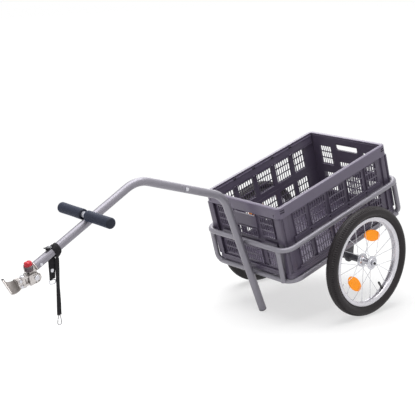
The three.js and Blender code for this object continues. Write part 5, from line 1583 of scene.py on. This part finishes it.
def leaned(shell):
    """A shell in the trough's own frame, its length along Z and its mouth to +X, moved to the hitch's. The
    upper end is cut on a slant: heights are scaled so that it falls by 1 + y / outer times the slant."""
    x, y, z = shell[0].T
    top = trough_half_length - trough_slant * (1 + y / trough_outer)
    share = (z + trough_half_length) / (2 * trough_half_length)
    level = share * (top + trough_half_length) - trough_half_length
    c, s = math.cos(trough_lean), math.sin(trough_lean)
    return np.stack([-y, x * c - level * s, x * s + level * c], axis=-1) + trough_place, shell[1]


def trough_outline(inner, outer, tip, rounding):
    """A C-shaped section, open towards +X, with straight tips that are rounded at their ends."""
    line = np.concatenate([
        [(tip, -outer)], arc_points((0, 0), outer, 270, 90, 48), [(tip, outer)],
        [(tip, inner)], arc_points((0, 0), inner, 90, 270, 48), [(tip, -inner)],
    ])
    radii = np.zeros(len(line))
    radii[[0, 50, 51, -1]] = rounding
    return rounded_outline(line, radii, 4)


trough = trough_outline(trough_inner, trough_outer, trough_tip, 1.2)
saddle_parts = [leaned(plate_shell(trough, 2 * trough_half_length, "z", 0, 0.9))]
for level in np.arange(-trough_half_length + 3, trough_half_length - 1, tooth_spacing):
    tooth = box_outline(-trough_outer + 0.4, -trough_inner - 0.4, level - 1.3, level + 1.3, 0.5)
    saddle_parts.append(leaned(plate_shell(tooth, 2.4, "x", trough_tip, 0.5)))
    groove = box_outline(trough_tip - 7, trough_tip - 1, level - 0.8, level + 0.8, 0.4)
    saddle_parts.append(leaned(plate_shell(groove, 0.9, "y", -trough_outer, 0.4)))
for side in (1, -1):
    cheek = rounded_outline([(cheek_start, -bracket_half_height), (cheek_end, -bracket_half_height),
                             (cheek_end, bracket_half_height), (cheek_start, bracket_half_height)],
                            [3, 0, 0, 3], 4)
    middle = side * (bracket_thickness / 2 + seat + cheek_thickness / 2)
    saddle_parts.append(plate_shell(cheek, cheek_thickness, "y", middle, 0.8))
saddle_parts.append(plate_shell(box_outline(-10.3, 10.3, -16, 16, 2), 3.4, "x", bracket_end + 2, 0.8))
new_piece("clamp_saddle_cast", joined(*saddle_parts), "clamp", cast_alloy, ["clamp_saddle"],
          at_hitch)

grey_rubber = finish("grey_rubber", "8d8784", 0.6, tone=0.1, tone_scale=30.0, grain=900.0, depth=0.05)
liner_outer = trough_inner - seat
liner = plate_shell(trough_outline(liner_outer - liner_wall, liner_outer, trough_tip + 1, 0.8),
                    2 * trough_half_length + liner_proud, "z", liner_proud / 2, 0.6)
new_piece("clamp_liner_rubber", leaned(liner), "clamp", grey_rubber, ["clamp_liner"],
          at_hitch)
cap = box_outline(trough_tip - 4, trough_tip + 1.6, -trough_outer - 0.4, -trough_inner + 2, 0.8)
new_piece("clamp_end_pad", leaned(plate_shell(cap, 5, "z", trough_half_length + 1.2, 0.7)), "clamp",
          black_rubber, (), at_hitch)

clamp_reach = bracket_thickness / 2 + 2 * seat + cheek_thickness
for side, word in [(1, "upper"), (-1, "lower")]:
    bolt = moved(through_bolt(reach=clamp_reach, tail=3, **small_bolt),
                 [clamp_bolt_x, 0, side * clamp_bolt_spacing / 2])
    new_piece(f"clamp_bolt_{word}_zinc", bolt, "clamp", bright_zinc, [f"clamp_bolt_{word}"],
              at_hitch)

# Webbing: a black woven polyester loop round the drawbar. Under the tube a folded, tapered tail is sewn to
# it, with a bright eyelet and a steel ring in its fold. Beside the tail a short stem carries the strap.
strap_x = shoulder[0] + 391.0
tail_setback = 5.0
webbing_thickness = 2.5
loop_x = -22.0
loop_width = 25.0
stem_x = -24.5
stem_top_width = 20.0
tail_length = 72.0
stem_length = 12.0
strap_side = 4.5
ring_wire = 1.6
ring_width = 26.0
strap_ring_height = 17.0
strap_ring_bend = 6.0
eyelet_drop = 42.0

at_loops = within(on_fall(strap_x), fall)
hang = -(fall + pitch)
loop_inner = (drawbar_radius + seat) / math.cos(math.pi / 12)
loop_outer = loop_inner + webbing_thickness
loop_middle = drawbar_radius + 0.4 + webbing_thickness / 2
dark_thread = finish("dark_thread", "3a383d", 0.7, tone=0.1, grain=2000.0, depth=0.02, specular=0.3)


def plumb(x, points):
    """Places that hang plumb from x on the drawbar's middle line: (sideways, across, below)."""
    return np.asarray(points, float) @ turned_about_y(hang).T + [x, 0, 0]


def folded_path(x, top, low):
    """A folded webbing's middle line: down its far layer from top to low, round the fold, up the near one."""
    layer = webbing_thickness / 2 + 0.1
    fold = np.radians(np.linspace(90, -90, 9))
    around = np.stack([np.zeros(9), -layer * np.sin(fold), -low - layer * np.cos(fold)], axis=-1)
    levels = np.linspace(top, low, 16)
    down = np.stack([np.zeros(16), np.full(16, -layer), -levels], axis=-1)
    return plumb(x, np.concatenate([down[:-1], around, (down * [1, -1, 1])[-2::-1]]))


def across_of(path):
    """Each station's direction across the webbing: along the drawbar, made square to the path."""
    along = np.gradient(path, axis=0)
    along /= np.linalg.norm(along, axis=1, keepdims=True)
    across = [1, 0, 0] - along[:, :1] * along
    return across / np.linalg.norm(across, axis=1, keepdims=True)


tail_path = folded_path(-tail_setback, loop_middle + 0.6, loop_outer + tail_length - 2.6)
tail_reach = np.clip((-tail_path[:, 2] - loop_outer) / tail_length, 0, 1)
ring_angles = np.radians(np.linspace(0, 360, 61))
loop_path = np.stack([np.full(61, loop_x), loop_middle * np.sin(ring_angles),
                      loop_middle * np.cos(ring_angles)], axis=-1)
stem_share = np.linspace(0, 1, 14)[:, None]
stem_from = math.radians(118)
stem_start = np.array([stem_x, loop_middle * math.sin(stem_from), loop_middle * math.cos(stem_from)])
stem_end = plumb(stem_x, [[0, strap_side, -loop_outer - stem_length + 0.2]])[0]
stem_path = stem_start + (stem_end - stem_start) * stem_share
stem_path[:, 1] += 2.2 * np.sin(stem_share[:, 0] * math.pi)
stem_widths = stem_top_width + (strap_width - stem_top_width) * stem_share[:, 0]
patch_path = np.linspace([loop_x - 8, 0, -loop_outer - 0.6], [7.5, 0, -loop_outer - 0.6], 16)
lead_path = np.linspace([loop_x, 0, loop_middle + 1.4], [6, 0, loop_middle + 0.6], 12)
strips = [
    (tail_path, across_of(tail_path), loop_width * (1 - tail_reach / 4), webbing_thickness - 0.1),
    (loop_path, np.tile([1.0, 0, 0], (61, 1)), loop_width, webbing_thickness - 0.1),
    (stem_path, across_of(stem_path), stem_widths, strap_thickness - 0.2),
    (patch_path, np.tile([0.0, 1.0, 0], (16, 1)), 13.0, 3.4),
    (lead_path, np.tile([0.0, 1.0, 0], (12, 1)), 12.0, 2.2),
]
shells, flows = zip(*(strip_shell(*strip) for strip in strips))
new_piece("webbing_loops_sewn", joined(*shells), "chassis", black_webbing, ["webbing_loops"],
          at_loops, flow=np.concatenate(flows))


def stitch_rows(levels, reach, spacing, depth, thread, half_length, slant, hung=np.array):
    """Rows of short slanted stitches across a webbing, on both its faces; hung places their ends."""
    parts = []
    for level in levels:
        for place in np.arange(-reach, reach + 0.1, spacing):
            for side in (1, -1):
                ends = hung([[place - half_length, side * depth, -level - slant],
                             [place + half_length, side * depth, -level + slant]])
                parts.append(tube_shell(straight(*ends), thread, 8, edge=0.15))
    return joined(*parts)


tail_stitches = stitch_rows([33, 36.5, 77, 81], 7.8, 2.6, webbing_thickness + 0.12, 0.38, 0.95, 0.25,
                            partial(plumb, -tail_setback))
new_piece("tail_stitches", tail_stitches, "chassis", dark_thread, (), at_loops)
strap_stitches = stitch_rows([4, 7.5, 168, 172, 184, 187], 5.8, 2.3, strap_thickness / 2 + 0.1, 0.36, 0.85,
                             0.2)
new_piece("strap_stitches", strap_stitches, "chassis", dark_thread, (), at_strap)

eyelet_section = np.array([(0, 3.0), (2.4, 2.9), (4.8, 2.5), (6.3, 1.7), (6.5, 1.1), (0, 1.0)])
for side, word in [(1, "near"), (-1, "far")]:
    eyelet = turned_shell((eyelet_section + [0, 1.2]) * [1, side], 40, "y", closed=False)
    centre = [0, 0, -loop_outer - eyelet_drop]
    new_piece(f"tail_eyelet_{word}", (plumb(-tail_setback, eyelet[0] + centre), eyelet[1]), "chassis",
              bright_zinc, (), at_loops)

# Cam buckle on top of the drawbar: a black moulded frame, two bright cross pins and a ribbed tongue that is
# lifted towards the hitch. The webbing's lead runs from the loop to it and under the tongue.
buckle_setback = 5.0
at_buckle = within((-buckle_setback, 0, loop_outer + seat), 0, at_loops)
buckle_cheek = rounded_outline([(-7, 0), (0.5, 0), (9, 3.6), (9, 6), (-2, 3), (-7, 3)],
                               [1.4, 0, 1, 1, 0, 1.4], 4)
tongue_outline = rounded_outline([(-1, 0.9), (1, 0.6), (14, 7), (14, 10), (12.4, 10), (10, 8.2), (-1, 3.2)],
                                 [1, 0, 0.8, 0.8, 0.6, 0, 1], 4)
buckle_parts = [plate_shell(tongue_outline, 12.6, "y", 0, 0.7)]
for side in (1, -1):
    buckle_parts.append(plate_shell(buckle_cheek, 2.2, "y", side * 7.8, 0.6))
cross_pin = turned_shell([(0, -9.4), (1.35, -9.4), (1.35, 9.4), (0, 9.4)], 20, closed=False)
cross_pins = joined(*(moved(cross_pin, [x, 0, 1.5]) for x in (-5.6, -1.8)))
new_piece("strap_buckle_pins", cross_pins, "chassis", bright_zinc, (), at_buckle)
for x in (5.0, 7.0, 9.0):
    rib = box_outline(x - 0.45, x + 0.45, 0.5 * x + 2.4, 0.5 * x + 3.6, 0.3)
    buckle_parts.append(plate_shell(rib, 11, "y", 0, 0.3))
new_piece("strap_buckle_moulded", joined(*buckle_parts), "chassis", black_plastic,
          ["strap_buckle"], at_buckle)

# Ring in the fold of the tail: a closed bright wire with a rounded lower side, hung through the webbing
# before it was sewn. It swings in its fold.
tail_end = loop_outer + tail_length + seat + ring_wire
ring_half = ring_width / 2 - ring_wire
ring_drop = strap_ring_height - 2 * ring_wire
strap_ring_corners = [(0, 0, 0), (ring_half, 0, 0), (ring_half, 0, -ring_drop), (-ring_half, 0, -ring_drop),
                (-ring_half, 0, 0), (0, 0, 0)]
ring_path = bent_path(strap_ring_corners, [3.2, strap_ring_bend, strap_ring_bend, 3.2], 10)
ring_points, ring_faces = tube_shell(ring_path, ring_wire, 16, closed=True)
new_piece("strap_ring_wire", (plumb(-tail_setback, ring_points - [0, 0, tail_end]), ring_faces), "strap_ring",
          bright_zinc, ["strap_ring"], at_loops)

# Floor and light: a plain white floor, a white surround and three large soft panels over the trailer.
# The floor shows the camera a flat white that is only dimmed by the trailer's own soft shadow.
floor_size = 30.0
surround_strength = 0.42
floor_share = 0.42
shadow_centre = (0.4, 0.0, 0.0)
shadow_reach = (1.1, 1.9)
near_light = 1.05
floor_bounce = 0.8
floor_glow = 1.02
panels = [
    ("panel_above", (-0.2, -0.3, 3.2), (0, 0, 0), (3.4, 2.8), 125.0),
    ("panel_behind", (-2.6, -2.6, 2.2), (math.radians(68), 0, math.radians(-45)), (2.6, 1.8), 30.0),
    ("panel_left", (1.2, 3.6, 2.6), (math.radians(-58), 0, math.radians(-12)), (2.0, 1.4), 15.0),
]

for name, place, turn, size, power in panels:
    lamp_data = bpy.data.lights.new(name, "AREA")
    lamp_data.shape = "RECTANGLE"
    lamp_data.size, lamp_data.size_y = size
    lamp_data.energy = power
    lamp = bpy.data.objects.new(name, lamp_data)
    lamp.location = place
    lamp.rotation_euler = turn
    scene.collection.objects.link(lamp)


def seen_directly(tree):
    """1 for rays that show the background itself: from the camera, through glass or mirrored in metal."""
    light_path = tree.nodes.new("ShaderNodeLightPath")
    seen = arithmetic(tree, "MAXIMUM", light_path.outputs["Is Camera Ray"],
                      light_path.outputs["Is Transmission Ray"])
    return arithmetic(tree, "MAXIMUM", seen, light_path.outputs["Is Glossy Ray"])


floor_material = bpy.data.materials.new("white_floor")
floor_material.use_nodes = True
tree = floor_material.node_tree
tree.nodes.clear()
matte = tree.nodes.new("ShaderNodeBsdfDiffuse")
offset = tree.nodes.new("ShaderNodeVectorMath")
offset.operation = "DISTANCE"
tree.links.new(tree.nodes.new("ShaderNodeTexCoord").outputs["Object"], offset.inputs[0])
offset.inputs[1].default_value = shadow_centre
fade = tree.nodes.new("ShaderNodeMapRange")
fade.interpolation_type = "SMOOTHSTEP"
fade.inputs["From Min"].default_value, fade.inputs["From Max"].default_value = shadow_reach
tree.links.new(offset.outputs["Value"], fade.inputs["Value"])
fade.inputs["To Min"].default_value, fade.inputs["To Max"].default_value = 1, 0
near = fade.outputs["Result"]
share = arithmetic(tree, "MULTIPLY", near, floor_share)
floor_lift = arithmetic(tree, "MULTIPLY_ADD", share, -near_light, floor_glow)
darker = arithmetic(tree, "SUBTRACT", share, floor_bounce)
white = arithmetic(tree, "ADD", arithmetic(tree, "MULTIPLY", seen_directly(tree), darker), floor_bounce)
tree.links.new(white, matte.inputs["Color"])
glow = tree.nodes.new("ShaderNodeEmission")
tree.links.new(arithmetic(tree, "MULTIPLY", seen_directly(tree), floor_lift), glow.inputs["Strength"])
total = tree.nodes.new("ShaderNodeAddShader")
tree.links.new(matte.outputs[0], total.inputs[0])
tree.links.new(glow.outputs[0], total.inputs[1])
tree.links.new(total.outputs[0], tree.nodes.new("ShaderNodeOutputMaterial").inputs["Surface"])

floor_mesh = bpy.data.meshes.new("floor")
reach = floor_size / 2
floor_mesh.from_pydata([(-reach, -reach, 0), (reach, -reach, 0), (reach, reach, 0), (-reach, reach, 0)], [],
                       [(0, 1, 2, 3)])
floor_mesh.materials.append(floor_material)
floor = bpy.data.objects.new("floor", floor_mesh)
scene.collection.objects.link(floor)

world = bpy.data.worlds.new("white_surround")
world.use_nodes = True
tree = world.node_tree
background = tree.nodes["Background"]
background.inputs["Color"].default_value = (1, 1, 1, 1)
strength = arithmetic(tree, "MULTIPLY_ADD", seen_directly(tree), 1 - surround_strength, surround_strength)
tree.links.new(strength, background.inputs["Strength"])
scene.world = world
scene.view_settings.view_transform = "Standard"
